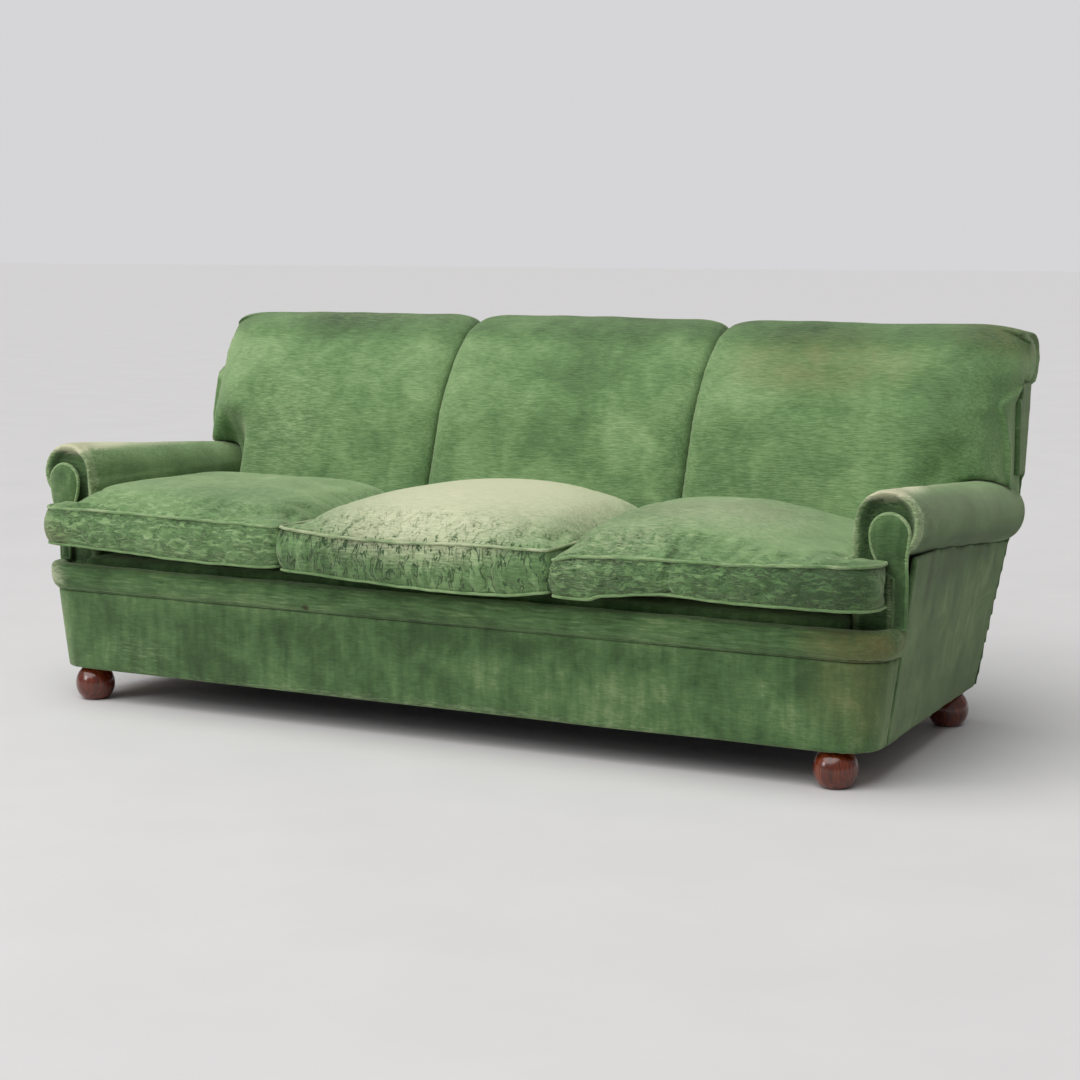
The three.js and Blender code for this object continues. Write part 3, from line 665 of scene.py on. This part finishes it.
def makeCushion(side):
    look, shape = cushionLook, cushionShapes[side]
    name = "seat_cushion_" + side
    mesh = cushionPrism(side, look["start"])
    for axis in range(3):
        sliceMesh(mesh, axis, look["pitch"])
    bmesh.ops.remove_doubles(mesh, verts=mesh.verts, dist=0.0025)
    bmesh.ops.recalc_face_normals(mesh, faces=mesh.faces)
    low, high = look["bottom"] + look["start"], look["top"] - look["start"]
    seams = []
    mesh.verts.ensure_lookup_table()
    for vertex in mesh.verts:
        x, y, z = vertex.co
        level = (z - low) / (high - low)
        turned = [face.normal.z for face in vertex.link_faces]
        onSeam = max(abs(n) for n in turned) > 0.7 and min(abs(n) for n in turned) < 0.3
        if onSeam:
            seams.append(vertex.index)
        elif level > 0.99:
            vertex.co.z += shape["crown"] * crownAt(shape, x, y)
        elif level < 0.01:
            vertex.co.z -= look["restDrop"] * crownAt(shape, x, y)
        else:
            bow = look["bow"][y < look["front"] + depthShift + look["bowReach"]]
            vertex.co += vertex.normal * bow * (1 - (2 * level - 1) ** 2)
    piece = makeObject(mesh, name + "_stuffed")
    stuff(piece, seams)

    def settle(place, normal):  # the underside is pressed level where it shows
        level = look["bottom"] + look["flatRise"]
        if place.z < level and normal.z < 0:
            free = smoothStep(look["flatFrom"], look["flatReach"], behindFront(place.y))
            place.z = level + (place.z - level) * free
        return place

    reshape(piece, settle)
    refine(piece, 1)
    seed = shape["seed"]
    across, upward = shape["crinkle"]

    def crushAt(place, normal):
        back = behindFront(place.y)
        front, nearFront = 1 - smoothStep(0.0, 0.03, back), 1 - smoothStep(0.03, 0.13, back)
        upright = smoothStep(0.4, 0.75, math.hypot(normal.x, normal.y))
        onTop = (1 - upright) * (normal.z > 0)
        return upright * (0.45 + 0.55 * front) + 0.5 * onTop * nearFront

    def crush(place, normal):
        back = behindFront(place.y)
        front, nearFront = 1 - smoothStep(0.0, 0.03, back), 1 - smoothStep(0.02, 0.26, back)
        band = smoothStep(look["bottom"] - 0.004, look["bottom"] + 0.012, place.z)
        band *= 1 - smoothStep(look["top"] - 0.012, look["top"] + 0.002, place.z)
        curl = [wave(place, (16, 16, 16), seed + more) for more in (9, 5)]
        bent = place + Vector((curl[0], 0, curl[1])) * look["crackBend"]
        lines = abs(wave(bent, (across, 18, upward), seed))
        crack = max(0.0, 1 - lines / look["crackWidth"]) ** 1.5
        ridge = look["ridge"] * wave(bent, (across * 0.7, 18, upward * 0.7), seed + 21)
        push = shape["depth"] * band * (0.35 + 0.65 * front) * (ridge - crack)
        onTop = smoothStep(0.5, 0.8, normal.z)
        ripple = look["ripple"] * wave(bent, (34, 20, 10), seed + 33)
        nearFold = max(0.0, 1 - abs(wave(place, (9, 7, 7), seed + 41)) / look["foldWidth"])
        push += onTop * nearFront * (ripple - look["foldDepth"] * nearFold)
        push += onTop * look["lump"] * wave(place, (5, 5, 5), seed + 50)
        return place + normal * push

    def foldIn(place, normal):  # the one deep crease in the right cushion's front
        crease = look["crease"]
        lean = crease["lean"] * (place.z - look["bottom"]) * (place.z - look["top"])
        share = math.exp(-((place.x - crease["x"] - lean) / crease["wide"]) ** 2)
        near = 1 - smoothStep(0.0, crease["reach"], behindFront(place.y))
        return place - normal * (crease["deep"] * share * near)

    reshape(piece, crush)
    if side == "right":
        reshape(piece, foldIn)
    reshape(piece, lambda place, normal: place + Vector((0, 0, sagAt(side, *place))))

    # Painted shade: the upright sides are darker by the shape's shade, most in a strip just under
    # the top piping.
    def shadeAndCrushAt(place, normal):
        height = place.z - sagAt(side, *place)
        upright = smoothStep(0.4, 0.8, math.hypot(normal.x, normal.y))
        offBand = abs(height - look["top"] + look["shadowBand"])
        below = 1 - smoothStep(0.0, look["shadowBand"], offBand)
        shade = upright * (shape["shade"] + look["shadow"] * below)
        return 0, 0, shade, crushAt(place, normal)

    paintMarks(piece, shape["spots"], shadeAndCrushAt)
    finishPiece(piece, *shape["finish"], [name], fill=shape["fill"])

    for level, height, sign, size, wear in (
        ("top", look["top"], 1, 1, shape["pipingWear"]),
        ("bottom", look["bottom"], -1, look["lowPiping"], -0.05),
    ):
        rim = cushionPrism(side, look["pipingInset"])
        flat = [face for face in rim.faces if abs(face.normal.z) > 0.9]
        chosen = max(flat, key=lambda face: face.calc_center_median().z * sign)
        path = spread([vertex.co.copy() for vertex in chosen.verts], look["pipingPitch"])
        rim.free()
        inward = -sign * look["piping"]
        path = [p + Vector((0, 0, sagAt(side, p.x, p.y, height) + inward)) for p in path]
        acrossWander, upWander = look["pipingWander"]
        path = [
            p + Vector((0, acrossWander * wave(p, (30, 30, 30), seed),
                        upWander * wave(p, (24, 24, 24), seed + 3)))
            for p in path
        ]
        cord = tube(f"{name}_piping_{level}", path, look["piping"] * size)
        paintMarks(cord, [], lambda place, normal: (
            wear + 0.2 * wave(place, (20, 20, 20), 2), 0, 0, 0))
        finishPiece(cord, *shape["finish"])


for cushionSide in cushionShapes:
    makeCushion(cushionSide)


# back sections

backLook = {
    "voxel": 0.009, "smoothing": 3,
    "seam": 0.331,
    "valleyReach": 0.085, "valleyDepth": 0.026,
    "rollY": 0.387, "rollZ": 0.795, "rollRadius": 0.071,
    "halfWidth": 1.045,
    "endReach": 0.150, "frameReach": 0.120,
    "frameSlices": [(0, 0), (0.25, 0.0318), (0.5, 0.134), (0.75, 0.3386), (1, 1)],
    "face": [(0.352, 0.090), (0.430, 0.099), (0.488, 0.118), (0.655, 0.170), (0.728, 0.212),
             (0.780, 0.250), (0.842, 0.315), (0.866, 0.387)],  # height, depth
    "frameTurn": [(0.70, 0.110), (0.80, 0.0275)],  # how far the frame's own ends turn back
    "softTurn": [(0.488, 0.178), (0.555, 0.190), (0.678, 0.176), (0.761, 0.132), (0.837, 0.085),
                 (0.866, 0.06)],  # how far the stuffed ends do
    "topDrop": 0.38, "rollFull": 1.07,
    "shade": 0.5, "shadeFrom": (0.79, 0.85),  # the roll's top is darker
    "groove": (0.052, 0.006, 0.010, -0.002),  # piped ring on the roll's end: radius, width, depths
    "plug": (1.031, 1.045, 0.330, 0.421, 0.745, 0.823),
    "sideFill": (0.985, 1.036, 0.276, 0.366, 0.460, 0.722),
    "notch": (0.850, 0.925, 0.53, 0.66),  # where the arm's roll runs into the back
    "notchLeft": 0.090, "notchRight": 0.030, "notchSide": 0.950,
    "returnFront": 0.262, "returnTop": (0.70, 0.77), "rollMost": 0.375,
    "bodyRear": 0.34, "rollFrom": 0.72,  # the depths that stay put, below the roll and in it
    "lumps": 0.004, "fineLumps": 0.0016,
}
# The third-channel spots near the arms at the two ends are painted shade where the back meets the
# arms.
backSpots = {
    "left": [(0, (-0.75, 0.15, 0.62), (0.3, 0.3, 0.3), 0.26),
             (0, (-0.6, 0.38, 0.87), (0.6, 0.14, 0.05), 0.25),
             (2, (-0.9, 0.2, 0.55), (0.2, 0.3, 0.2), 0.25)],
    "middle": [(0, (0.05, 0.38, 0.87), (0.5, 0.14, 0.05), 0.12),
               (2, (0.0, 0.2, 0.78), (0.35, 0.2, 0.1), 0.2)],
    "right": [(1, (0.62, 0.25, 0.79), (0.28, 0.2, 0.1), 0.6),
              (0, (0.58, 0.27, 0.76), (0.28, 0.2, 0.09), 0.16),
              (0, (0.7, 0.38, 0.87), (0.6, 0.14, 0.05), 0.12),
              (1, (1.0, 0.38, 0.86), (0.14, 0.2, 0.08), 0.6),
              (2, (0.95, 0.2, 0.66), (0.20, 0.4, 0.26), 0.28)],
}


def addBlock(mesh, sign, x0, x1, y0, y1, z0, z1):  # x as on the right side, y as drawn
    made = bmesh.ops.create_cube(mesh, size=1)["verts"]
    middle = (sign * (x0 + x1) / 2, (y0 + y1) / 2 + depthShift, (z0 + z1) / 2)
    bmesh.ops.scale(mesh, verts=made, vec=(x1 - x0, y1 - y0, z1 - z0))
    bmesh.ops.translate(mesh, verts=made, vec=middle)


def makeBackPad(side):
    look = backLook
    name = "back_pad_" + side
    low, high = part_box(name)
    mesh = copyNode(name)
    if side != "middle":  # closes the end of the roll over the top rail, and the side below it
        for block in (look["sideFill"], look["plug"]):
            addBlock(mesh, sideSigns[side], *block)
    piece = makeObject(mesh, name + "_stuffed")
    evenMesh(piece, look["voxel"], look["smoothing"])
    seams = [s for s in (-look["seam"], look["seam"]) if low.x - 0.01 < s < high.x + 0.01]
    rollY, rollZ, rollRadius = look["rollY"], look["rollZ"], look["rollRadius"]

    def notchAt(x, z):
        start, full, low, high = look["notch"]
        deep = look["notchLeft" if x < 0 else "notchRight"]
        inside = 1 - smoothStep(look["notchSide"], look["notchSide"] + 0.05, abs(x))
        return deep * inside * smoothStep(start, full, abs(x)) * (1 - smoothStep(low, high, z))

    def pull(place, normal):
        x, y, z = place.x, place.y - depthShift, place.z
        away = max(0.0, (abs(x) - look["halfWidth"] + look["endReach"]) / look["endReach"])
        turn = 1 - math.sqrt(max(0.0, 1 - min(1.0, away) ** 2))
        if (turn > 0 or notchAt(x, z) > 0) and y < rollY:
            face = tableAt(look["face"], z)
            past = (abs(x) - look["halfWidth"] + look["frameReach"]) / look["frameReach"]
            given = tableAt(look["frameTurn"], z) * tableAt(look["frameSlices"], past)
            limit = rollY if z > look["rollFrom"] else look["bodyRear"]
            share = min(1.0, max(0.0, (limit - y) / max(0.03, limit - face - given)))
            wanted = tableAt(look["softTurn"], z) * turn + notchAt(x, z)
            clear = smoothStep(*look["returnTop"], z)  # stays ahead of the rear cover's edge
            most = look["returnFront"] + (look["rollMost"] - look["returnFront"]) * clear
            y += share * max(0.0, min(wanted, most - face) - given)
        if z > rollZ:
            onFront = 1 - smoothStep(rollY + 0.01, rollY + 0.06, y)
            z = rollZ + (z - rollZ) * (look["rollFull"] - look["topDrop"] * turn * onFront)
        near = min(abs(x - s) for s in seams)
        share = max(0.0, 1 - near / look["valleyReach"])
        sink = look["valleyDepth"] * (1 - math.sqrt(max(0.0, 1 - share * share)))
        radius = math.hypot(y - rollY, z - rollZ)
        if z > rollZ or y > rollY:
            inward = sink * min(1.0, radius / rollRadius) / max(radius, 0.001)
            y, z = y - (y - rollY) * inward, z - (z - rollZ) * inward
        else:
            y += sink * min(1.0, max(0.0, 1 - (y - tableAt(look["face"], z)) / 0.08))
        lump = look["lumps"] * wave(place, (4, 4, 4), 5.5)
        lump += look["fineLumps"] * wave(place, (14, 14, 14), 8)
        if abs(x) > look["halfWidth"] - 0.012 and z > rollZ - 0.08:
            ring, wide, rightDeep, leftDeep = look["groove"]
            groove = math.exp(-((radius - ring) / wide) ** 2) * (y > rollY - 0.03)
            x -= (rightDeep if x > 0 else leftDeep) * groove
        return Vector((x, y + depthShift, z)) + normal * lump * (1 - 0.6 * share)

    reshape(piece, pull)
    paintMarks(piece, backSpots[side], lambda place, normal: (
        0, 0, look["shade"] * smoothStep(*look["shadeFrom"], place.z), 0))
    finishPiece(piece, greenVelvet, "green_cloth", [name], fill=0.8)


for backSide in backSpots:
    makeBackPad(backSide)


# arms and their facings

armLook = {
    "voxel": 0.005, "smoothing": 4,
    "x": 1.000, "front": -0.351, "rear": 0.340, "axis": 0.517, "radius": 0.0675,
    "fall": 0.0667, "drawIn": 0.0125, "edgeRound": 0.009,
    "rimInner": (0.0500, 0.0565), "rimOut": 0.017, "recess": 0.011,  # the drawn in front
    "pleats": 16, "pleatDepth": 0.0006, "pleatReach": 0.05, "relaxReach": 0.045,
    "relaxTimes": 6,
    "neck": (0.927, 0.998, -0.347, 0.325, 0.286, 0.50),  # from the roll down to the base
    "frontWall": (0.927, 1.034, -0.350, -0.334, 0.286, 0.46),
    "lump": 0.003, "fineLump": 0.0008,
    "rimWear": 0.42, "recessShade": 0.6, "outerShade": 0.45, "underShade": 0.3, "crush": 0.4,
}
facingLook = {
    "voxel": 0.004, "smoothing": 2,
    "x": 1.008, "head": 0.497, "shrink": 0.12,  # the stuffed head shrinks towards this point
    "leftTuck": 0.021,  # the left board stands this much further in, below its head
    "crown": 0.007, "crownReach": 0.022, "lump": 0.001,
    "piping": 0.0042, "pipingPitch": 0.008, "pipingOut": 0.002,
}


def armRoll(sign):
    look = armLook
    mesh = bmesh.new()
    length = look["rear"] - look["front"]
    bmesh.ops.create_cone(mesh, cap_ends=True, segments=56, radius1=look["radius"],
                          radius2=look["radius"], depth=length)
    rims = [e for e in mesh.edges if abs(e.verts[0].co.z - e.verts[1].co.z) < 0.1]
    bmesh.ops.bevel(mesh, geom=rims, offset=look["edgeRound"], offset_type="OFFSET", segments=4,
                    profile=0.5, affect="EDGES", material=-1)
    for vertex in mesh.verts:  # from an upright cylinder to one that lies along the depth
        back = vertex.co.z + length / 2
        vertex.co = Vector((
            sign * (look["x"] - look["drawIn"] * back) + vertex.co.x,
            look["front"] + back + depthShift,
            look["axis"] - look["fall"] * back + vertex.co.y,
        ))
    bmesh.ops.recalc_face_normals(mesh, faces=mesh.faces)
    return mesh


def makeArm(side):
    look = armLook
    sign = sideSigns[side]
    name = "arm_pad_" + side
    mesh = armRoll(sign)
    wall = list(look["frontWall"])
    if sign < 0:
        wall[1] -= facingLook["leftTuck"]
    for block in (look["neck"], wall):
        addBlock(mesh, sign, *block)
    piece = makeObject(mesh, name + "_stuffed")
    evenMesh(piece, look["voxel"], look["smoothing"])
    front = look["front"] + depthShift

    def overRoll(place):  # depth behind the front, offset from the roll's axis, and reach
        back = place.y - front
        dx = place.x - sign * (look["x"] - look["drawIn"] * back)
        dz = place.z - look["axis"] + look["fall"] * back
        return back, dx, dz, abs(dx) if dz < 0 and dx * sign < 0 else math.hypot(dx, dz)

    def dress(place, normal):
        back, dx, dz, reach = overRoll(place)
        radius, angle = math.hypot(dx, dz), math.atan2(dz, dx)
        onRoll = smoothStep(0.052, 0.060, radius) * smoothStep(0.078, 0.072, radius)
        facing = 1 - smoothStep(0.006, 0.022, back)
        inside = 1 - smoothStep(*look["rimInner"], reach)
        high = smoothStep(0.40, 0.44, place.z)
        place.y += facing * high * (look["recess"] * inside - look["rimOut"] * (1 - inside))
        pleat = math.cos(look["pleats"] * angle + 2.5 * wave(place, (7, 7, 7), 4 + sign))
        push = look["pleatDepth"] * pleat * math.exp(-max(0.0, back) / look["pleatReach"]) * onRoll
        push += look["lump"] * wave(place, (6, 6, 6), 2 * sign)
        push += look["fineLump"] * wave(place, (22, 22, 22), 3)
        return place + normal * push

    reshape(piece, dress)
    relaxWhere(piece, lambda place: place.y < front + look["relaxReach"], look["relaxTimes"])

    # Painted shade: the outer side, the underside and the facing's recess are darkened; the rim is
    # worn.
    def shadeAt(place, normal):
        back, dx, dz, reach = overRoll(place)
        atFront = 1 - smoothStep(0.012, 0.024, back)
        inside = 1 - smoothStep(look["rimInner"][0], look["rimInner"][1] + 0.002, reach)
        shade = look["outerShade"] * smoothStep(0.3, 0.8, normal.x * sign) * (1 - atFront)
        shade += look["underShade"] * smoothStep(0.2, 0.7, -normal.z)
        shade += look["recessShade"] * atFront * inside
        crushed = look["crush"] * (1 - smoothStep(0.03, 0.16, back))
        return look["rimWear"] * atFront * (1 - inside), 0, shade, crushed

    # the third-channel spot is painted shade under the roll
    spots = [
        (0, (sign * 1.0, -0.28, 0.585), (0.075, 0.16, 0.04), 0.6),
        (0, (sign * 0.99, -0.05, 0.585), (0.06, 0.60, 0.05), 0.75 if sign < 0 else 0.55),
        (1, (sign * 1.0, -0.32, 0.585), (0.06, 0.08, 0.03), 0.5),
        (2, (sign * 0.98, 0.05, 0.44), (0.12, 0.5, 0.06), 0.35),
    ]
    paintMarks(piece, spots, shadeAt)
    finishPiece(piece, greenVelvet, "green_cloth", [name], fill=0.7)


def makeFacing(side):
    look = facingLook
    sign = sideSigns[side]
    name = "arm_facing_" + side
    outline = copyNode(name)
    bmesh.ops.dissolve_limit(
        outline, angle_limit=0.001, verts=outline.verts, edges=outline.edges, delimit={"NORMAL"}
    )
    face = min(outline.faces, key=lambda f: f.calc_center_median().y)

    def gather(place):  # the stuffed head ends up smaller than its board
        share = look["shrink"] * smoothStep(0.40, 0.45, place.z)
        tuck = look["leftTuck"] * smoothStep(0.46, 0.38, place.z) if sign < 0 else 0
        return Vector((place.x + tuck - (place.x - sign * look["x"]) * share, place.y,
                       place.z - (place.z - look["head"]) * share))

    corners = [vertex.co.copy() for vertex in face.verts]
    path = [gather(p) for p in spread(corners, look["pipingPitch"])]
    outline.free()
    piece = makeObject(copyNode(name), name + "_padded")
    evenMesh(piece, look["voxel"], look["smoothing"])
    low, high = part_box(name)

    def crown(place, normal):
        place = gather(place)
        if place.y > (low.y + high.y) / 2:
            return place
        edge = min((place.x - p.x) ** 2 + (place.z - p.z) ** 2 for p in path) ** 0.5
        place.y -= look["crown"] * (1 - (1 - min(1.0, edge / look["crownReach"])) ** 2)
        return place + normal * look["lump"] * wave(place, (40, 40, 40), 6)

    reshape(piece, crown)
    # painted shade over the board, strongest low in its middle
    paintMarks(piece, [(2, ((low.x + high.x) / 2, low.y, 0.40), (0.06, 0.05, 0.08), 0.25)],
               lambda place, normal: (0, 0, 0.05, 0.1))
    finishPiece(piece, panelVelvet, "green_cloth", [name], fill=0.6)
    cord = tube(name + "_piping", [p + Vector((0, look["pipingOut"], 0)) for p in path],
                look["piping"])
    # worn on its upper part; painted shade on its lower part
    paintMarks(cord, [], lambda place, normal: (
        (0.3 + 0.2 * wave(place, (20, 20, 20), 9)) * smoothStep(0.40, 0.46, place.z), 0,
        0.4 * smoothStep(0.46, 0.40, place.z), 0))
    finishPiece(cord, greenVelvet, "green_cloth")


for armSide in ("left", "right"):
    makeArm(armSide)
    makeFacing(armSide)


# base covers

baseLook = {
    "wrapEnd": -0.325, "front": -0.426, "halfWidth": 1.000, "corner": 0.078,
    "welt": 0.2585, "weltRadius": 0.0028,
    "frontFactor": 0.995, "frontFlare": 0.144, "flareFrom": 0.074,
    "rollFull": 0.008, "rollTuck": 0.002,  # the padded edge's middle out, its rims in
    "returnStart": 0.378, "returnFrom": 0.52, "returnShare": 0.55,
    "rollEdge": 0.69, "rearFrom": 0.345, "rearStretch": 2.25, "rearLean": 0.16, "leanFrom": 0.716,
}


def makeCover(name, voxel, smoothing, material, spots, move=None, fill=0.25, extra=None):
    piece = makeObject(copyNode(name), name + "_cover")
    evenMesh(piece, voxel, smoothing)
    if move:
        reshape(piece, move)
    paintMarks(piece, spots, extra)
    finishPiece(piece, material, "green_cloth", [name], fill=fill)


def ripple(deep, scale, seed):
    return lambda place, normal: place + normal * deep * wave(place, scale, seed)


rollLow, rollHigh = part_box("front_edge_roll")


def rollForm(place, normal):
    level = (place.z - rollLow.z) / (rollHigh.z - rollLow.z)
    if normal.y < -0.3 or abs(normal.x) > 0.6:
        full = math.sin(math.pi * min(1.0, max(0.0, level)))
        place = place + normal * (baseLook["rollFull"] * full - baseLook["rollTuck"])
    lump = 0.0022 * wave(place, (7, 10, 26), 31) + 0.001 * wave(place, (20, 30, 80), 12)
    return place + normal * lump


makeCover("front_edge_roll", 0.006, 5, edgeVelvet, [
    (1, (-0.29, -0.435, 0.266), (0.012, 0.03, 0.009), 1.6),
    (2, (-0.29, -0.435, 0.266), (0.012, 0.03, 0.009), 1.6),
    (0, (-1.0, -0.40, 0.29), (0.09, 0.09, 0.05), 0.5),
    (1, (0.98, -0.40, 0.29), (0.16, 0.12, 0.06), 0.85),
    (0, (-0.2, -0.43, 0.275), (1.1, 0.05, 0.04), 0.16),
], rollForm, fill=0.6)
# Third-channel spots on the front panel are painted shade under the padded edge's lip.
makeCover("front_panel", 0.006, 2, panelVelvet, [
    (1, (0.97, -0.40, 0.22), (0.14, 0.12, 0.14), 0.5),
    (0, (0.0, -0.426, 0.08), (1.2, 0.05, 0.022), 0.32),
    (0, (-0.75, -0.426, 0.13), (0.22, 0.05, 0.06), 0.25),
    (2, (-0.40, -0.426, 0.20), (0.25, 0.05, 0.06), 0.35),
    (2, (0.30, -0.426, 0.22), (0.5, 0.05, 0.04), 0.3),
], ripple(0.0022, (3.5, 3.5, 6), 17), fill=0.2)
# Third-channel spots on the side panels are painted shade under the arm's roll, strongest in a
# narrow strip towards the front.
for panelSide, panelSign in (("left", -1), ("right", 1)):
    makeCover("side_panel_" + panelSide, 0.006, 2, panelVelvet, [
        (2, (panelSign * 1.03, -0.20, 0.40), (0.1, 0.025, 0.10), 0.9),
        (2, (panelSign * 1.02, 0.0, 0.42), (0.1, 0.4, 0.06), 0.35),
        (0, (panelSign * 1.0, 0.1, 0.09), (0.1, 0.5, 0.03), 0.25),
    ], ripple(0.0025, (5, 5, 2.5), 23 + panelSign), fill=0.2)


def closeUnderRoll(place, normal):
    look = baseLook
    start, edge = look["returnStart"], look["rollEdge"]
    if place.y < start and place.z > look["returnFrom"]:  # the side return starts further back
        place.y = start - (start - place.y) * look["returnShare"]
    if place.y > look["rearFrom"] and place.z > edge:  # the rear cover runs up under the roll
        place.z = edge + (place.z - edge) * look["rearStretch"]
        place.y += look["rearLean"] * max(0.0, place.z - look["leanFrom"])
    return place + normal * 0.0025 * wave(place, (3, 3, 4), 29)


# The outer back's third-channel spot is painted shade under the back's roll.
makeCover("outer_back_panel", 0.007, 2, panelVelvet, [
    (0, (0.0, 0.39, 0.70), (1.2, 0.08, 0.05), 0.2),
    (2, (0.0, 0.40, 0.66), (1.2, 0.08, 0.10), 0.25),
], closeUnderRoll, fill=0.2)
makeCover("seat_deck", 0.014, 1, panelVelvet, [], ripple(0.003, (5, 5, 5), 37), fill=0.5)


def weltPath():
    look = baseLook
    corner, steps, height = look["corner"], 10, look["welt"]
    centreX, centreY = look["halfWidth"] - corner, look["front"] + corner
    plan = [(look["halfWidth"], look["wrapEnd"])]
    for i in range(steps + 1):
        angle = -math.pi / 2 * i / steps
        plan.append((centreX + corner * math.cos(angle), centreY + corner * math.sin(angle)))
    plan += [(-x, y) for x, y in reversed(plan)]
    factor = look["frontFactor"] + look["frontFlare"] * (height - look["flareFrom"])
    path = [Vector((x * factor, y + depthShift, height)) for x, y in plan]
    return spread(path, 0.02, closed=False)


welt = tube("front_welt", weltPath(), baseLook["weltRadius"], closed=False)
# Painted shadow: the welt is darkened all along; the spot at the right end is soiling.
paintMarks(welt, [(1, (0.98, -0.40, 0.26), (0.2, 0.12, 0.06), 0.6)],
           lambda place, normal: (0.15 * wave(place, (12, 12, 12), 15), 0, 0.35, 0))
finishPiece(welt, panelVelvet, "green_cloth")


# dust cover

dustLook = {"margin": 0.004, "above": 0.0003, "ripple": 0.0006}


def makeDustCover():
    look = dustLook
    low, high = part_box("dust_cover")
    length, depth = high.x - low.x - look["margin"], high.y - low.y - look["margin"]
    middle = (low + high) / 2
    mesh = bmesh.new()
    bmesh.ops.create_grid(mesh, x_segments=60, y_segments=28, size=0.5)
    bmesh.ops.scale(mesh, verts=mesh.verts, vec=(length, depth, 1))
    bmesh.ops.translate(
        mesh, verts=mesh.verts, vec=(middle.x, middle.y, high.z - look["above"])
    )
    piece = makeObject(mesh, "dust_cover_cloth")
    reshape(piece, lambda place, normal: place - Vector((
        0, 0, look["ripple"] * abs(wave(place, (6, 6, 6), 2)))))
    finishPiece(piece, blackCotton, "lining_cloth", ["dust_cover"])


makeDustCover()


# feet

footLook = {
    "height": 0.0735, "radius": 0.0445, "sole": 0.024, "bulge": 0.86, "rings": 18, "steps": 64,
}


def makeFoot(name):
    look = footLook
    low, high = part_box(name)
    centre = (low + high) / 2
    half = look["height"] / 2
    start = math.asin(look["sole"] / look["radius"])
    mesh = bmesh.new()
    points = [Vector((0, 0, 0))]
    for i in range(look["rings"] + 1):
        angle = start + (math.pi - 2 * start) * i / look["rings"]
        points.append(Vector((look["radius"] * math.sin(angle) ** look["bulge"], 0,
                              half - half * math.cos(angle) / math.cos(start))))
    points.append(Vector((0, 0, look["height"])))
    ring = [mesh.verts.new(point) for point in points]
    for a, b in zip(ring, ring[1:]):
        mesh.edges.new((a, b))
    bmesh.ops.spin(mesh, geom=mesh.verts[:] + mesh.edges[:], cent=(0, 0, 0), axis=(0, 0, 1),
                   angle=2 * math.pi, steps=look["steps"], use_merge=True)
    bmesh.ops.remove_doubles(mesh, verts=mesh.verts, dist=0.0002)
    bmesh.ops.recalc_face_normals(mesh, faces=mesh.faces)
    bmesh.ops.translate(mesh, verts=mesh.verts, vec=(centre.x, centre.y, low.z))
    piece = makeObject(mesh, name + "_turned")
    finishPiece(piece, stainedBeech, "stained_wood", [name])


for footEnd in ("front", "rear"):
    for footSide in ("left", "right"):
        makeFoot(f"foot_{footEnd}_{footSide}")


# inner parts keep their frame shapes

innerFinishes = {
    "webbing": juteWeb, "seat_spring": springWire, "foot_bolt": springWire,
    "corner_block": rawPine, "front_rail": rawPine, "rear_rail": rawPine,
    "side_rail": rawPine, "cross_rail": rawPine, "arm_post": rawPine, "arm_board": rawPine,
    "back_post": rawPine, "back_upright": rawPine, "back_top_rail": rawPine,
}
for nodeName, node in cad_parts.items():
    for start, finish in innerFinishes.items():
        if nodeName.startswith(start):
            node.data.materials.clear()
            node.data.materials.append(finish)
print("inner parts finished")


# studio

studioLook = {
    "floor": "#d6d4d3", "floorMark": "#d2d0cf", "backdrop": "#d6d5d7", "fill": "#eef0f4",
    "fillStrength": 0.30, "backdropStrength": 1.0,
    "sunStrength": 2.85, "sunSpread": 75, "sunTurn": (24, -12),
    "boxPlace": (-2.6, -3.6, 1.7), "boxSize": 1.2, "boxPower": 32,
}


def makeStudio(look):
    mesh = bmesh.new()
    bmesh.ops.create_grid(mesh, x_segments=4, y_segments=4, size=60)
    floor = makeObject(mesh, "studio_floor")
    # Sealed cement floor, painted pale: matt, with faint cloudy marks.
    material, tree = emptyMaterial("paintedCement")
    coord = addNode(tree, "TexCoord", out="Object")
    cloud = addNode(
        tree, "TexNoise", {"Scale": 3.0, "Detail": 6.0, "Roughness": 0.6}, {"Vector": coord}
    )
    ramp = addNode(tree, "ValToRGB", None, {"Fac": cloud})
    setRamp(ramp, [(0.3, look["floorMark"]), (0.7, look["floor"])])
    shader = addNode(
        tree, "BsdfPrincipled", {"Roughness": 0.6, "Specular IOR Level": 0.2},
        {"Base Color": ramp},
    )
    addNode(tree, "OutputMaterial", None, {"Surface": shader})
    floor.data.materials.append(material)

    world = bpy.data.worlds.new("studioAir")
    sceneData.world = world
    world.use_nodes = True
    tree = world.node_tree
    tree.nodes.clear()
    seen, fill = [
        addNode(tree, "Background", {"Color": linear(look[tint]), "Strength": look[strength]})
        for tint, strength in (("backdrop", "backdropStrength"), ("fill", "fillStrength"))
    ]
    direct = addNode(tree, "LightPath", out="Is Camera Ray")
    mixed = addNode(tree, "MixShader", None, {0: direct, 1: fill, 2: seen})
    addNode(tree, "OutputWorld", None, {"Surface": mixed})

    data = bpy.data.lights.new("overheadSoftbox", "SUN")
    data.energy = look["sunStrength"]
    data.angle = math.radians(look["sunSpread"])
    sun = bpy.data.objects.new("overheadSoftbox", data)
    sun.rotation_euler = [math.radians(a) for a in look["sunTurn"]] + [0]
    sceneData.collection.objects.link(sun)
    data = bpy.data.lights.new("sideSoftbox", "AREA")
    data.energy, data.size = look["boxPower"], look["boxSize"]
    box = bpy.data.objects.new("sideSoftbox", data)
    box.location = look["boxPlace"]
    box.rotation_euler = Vector(look["boxPlace"]).to_track_quat("Z", "Y").to_euler()
    sceneData.collection.objects.link(box)
    sceneData.view_settings.view_transform = "Standard"


makeStudio(studioLook)
print("studio lit")
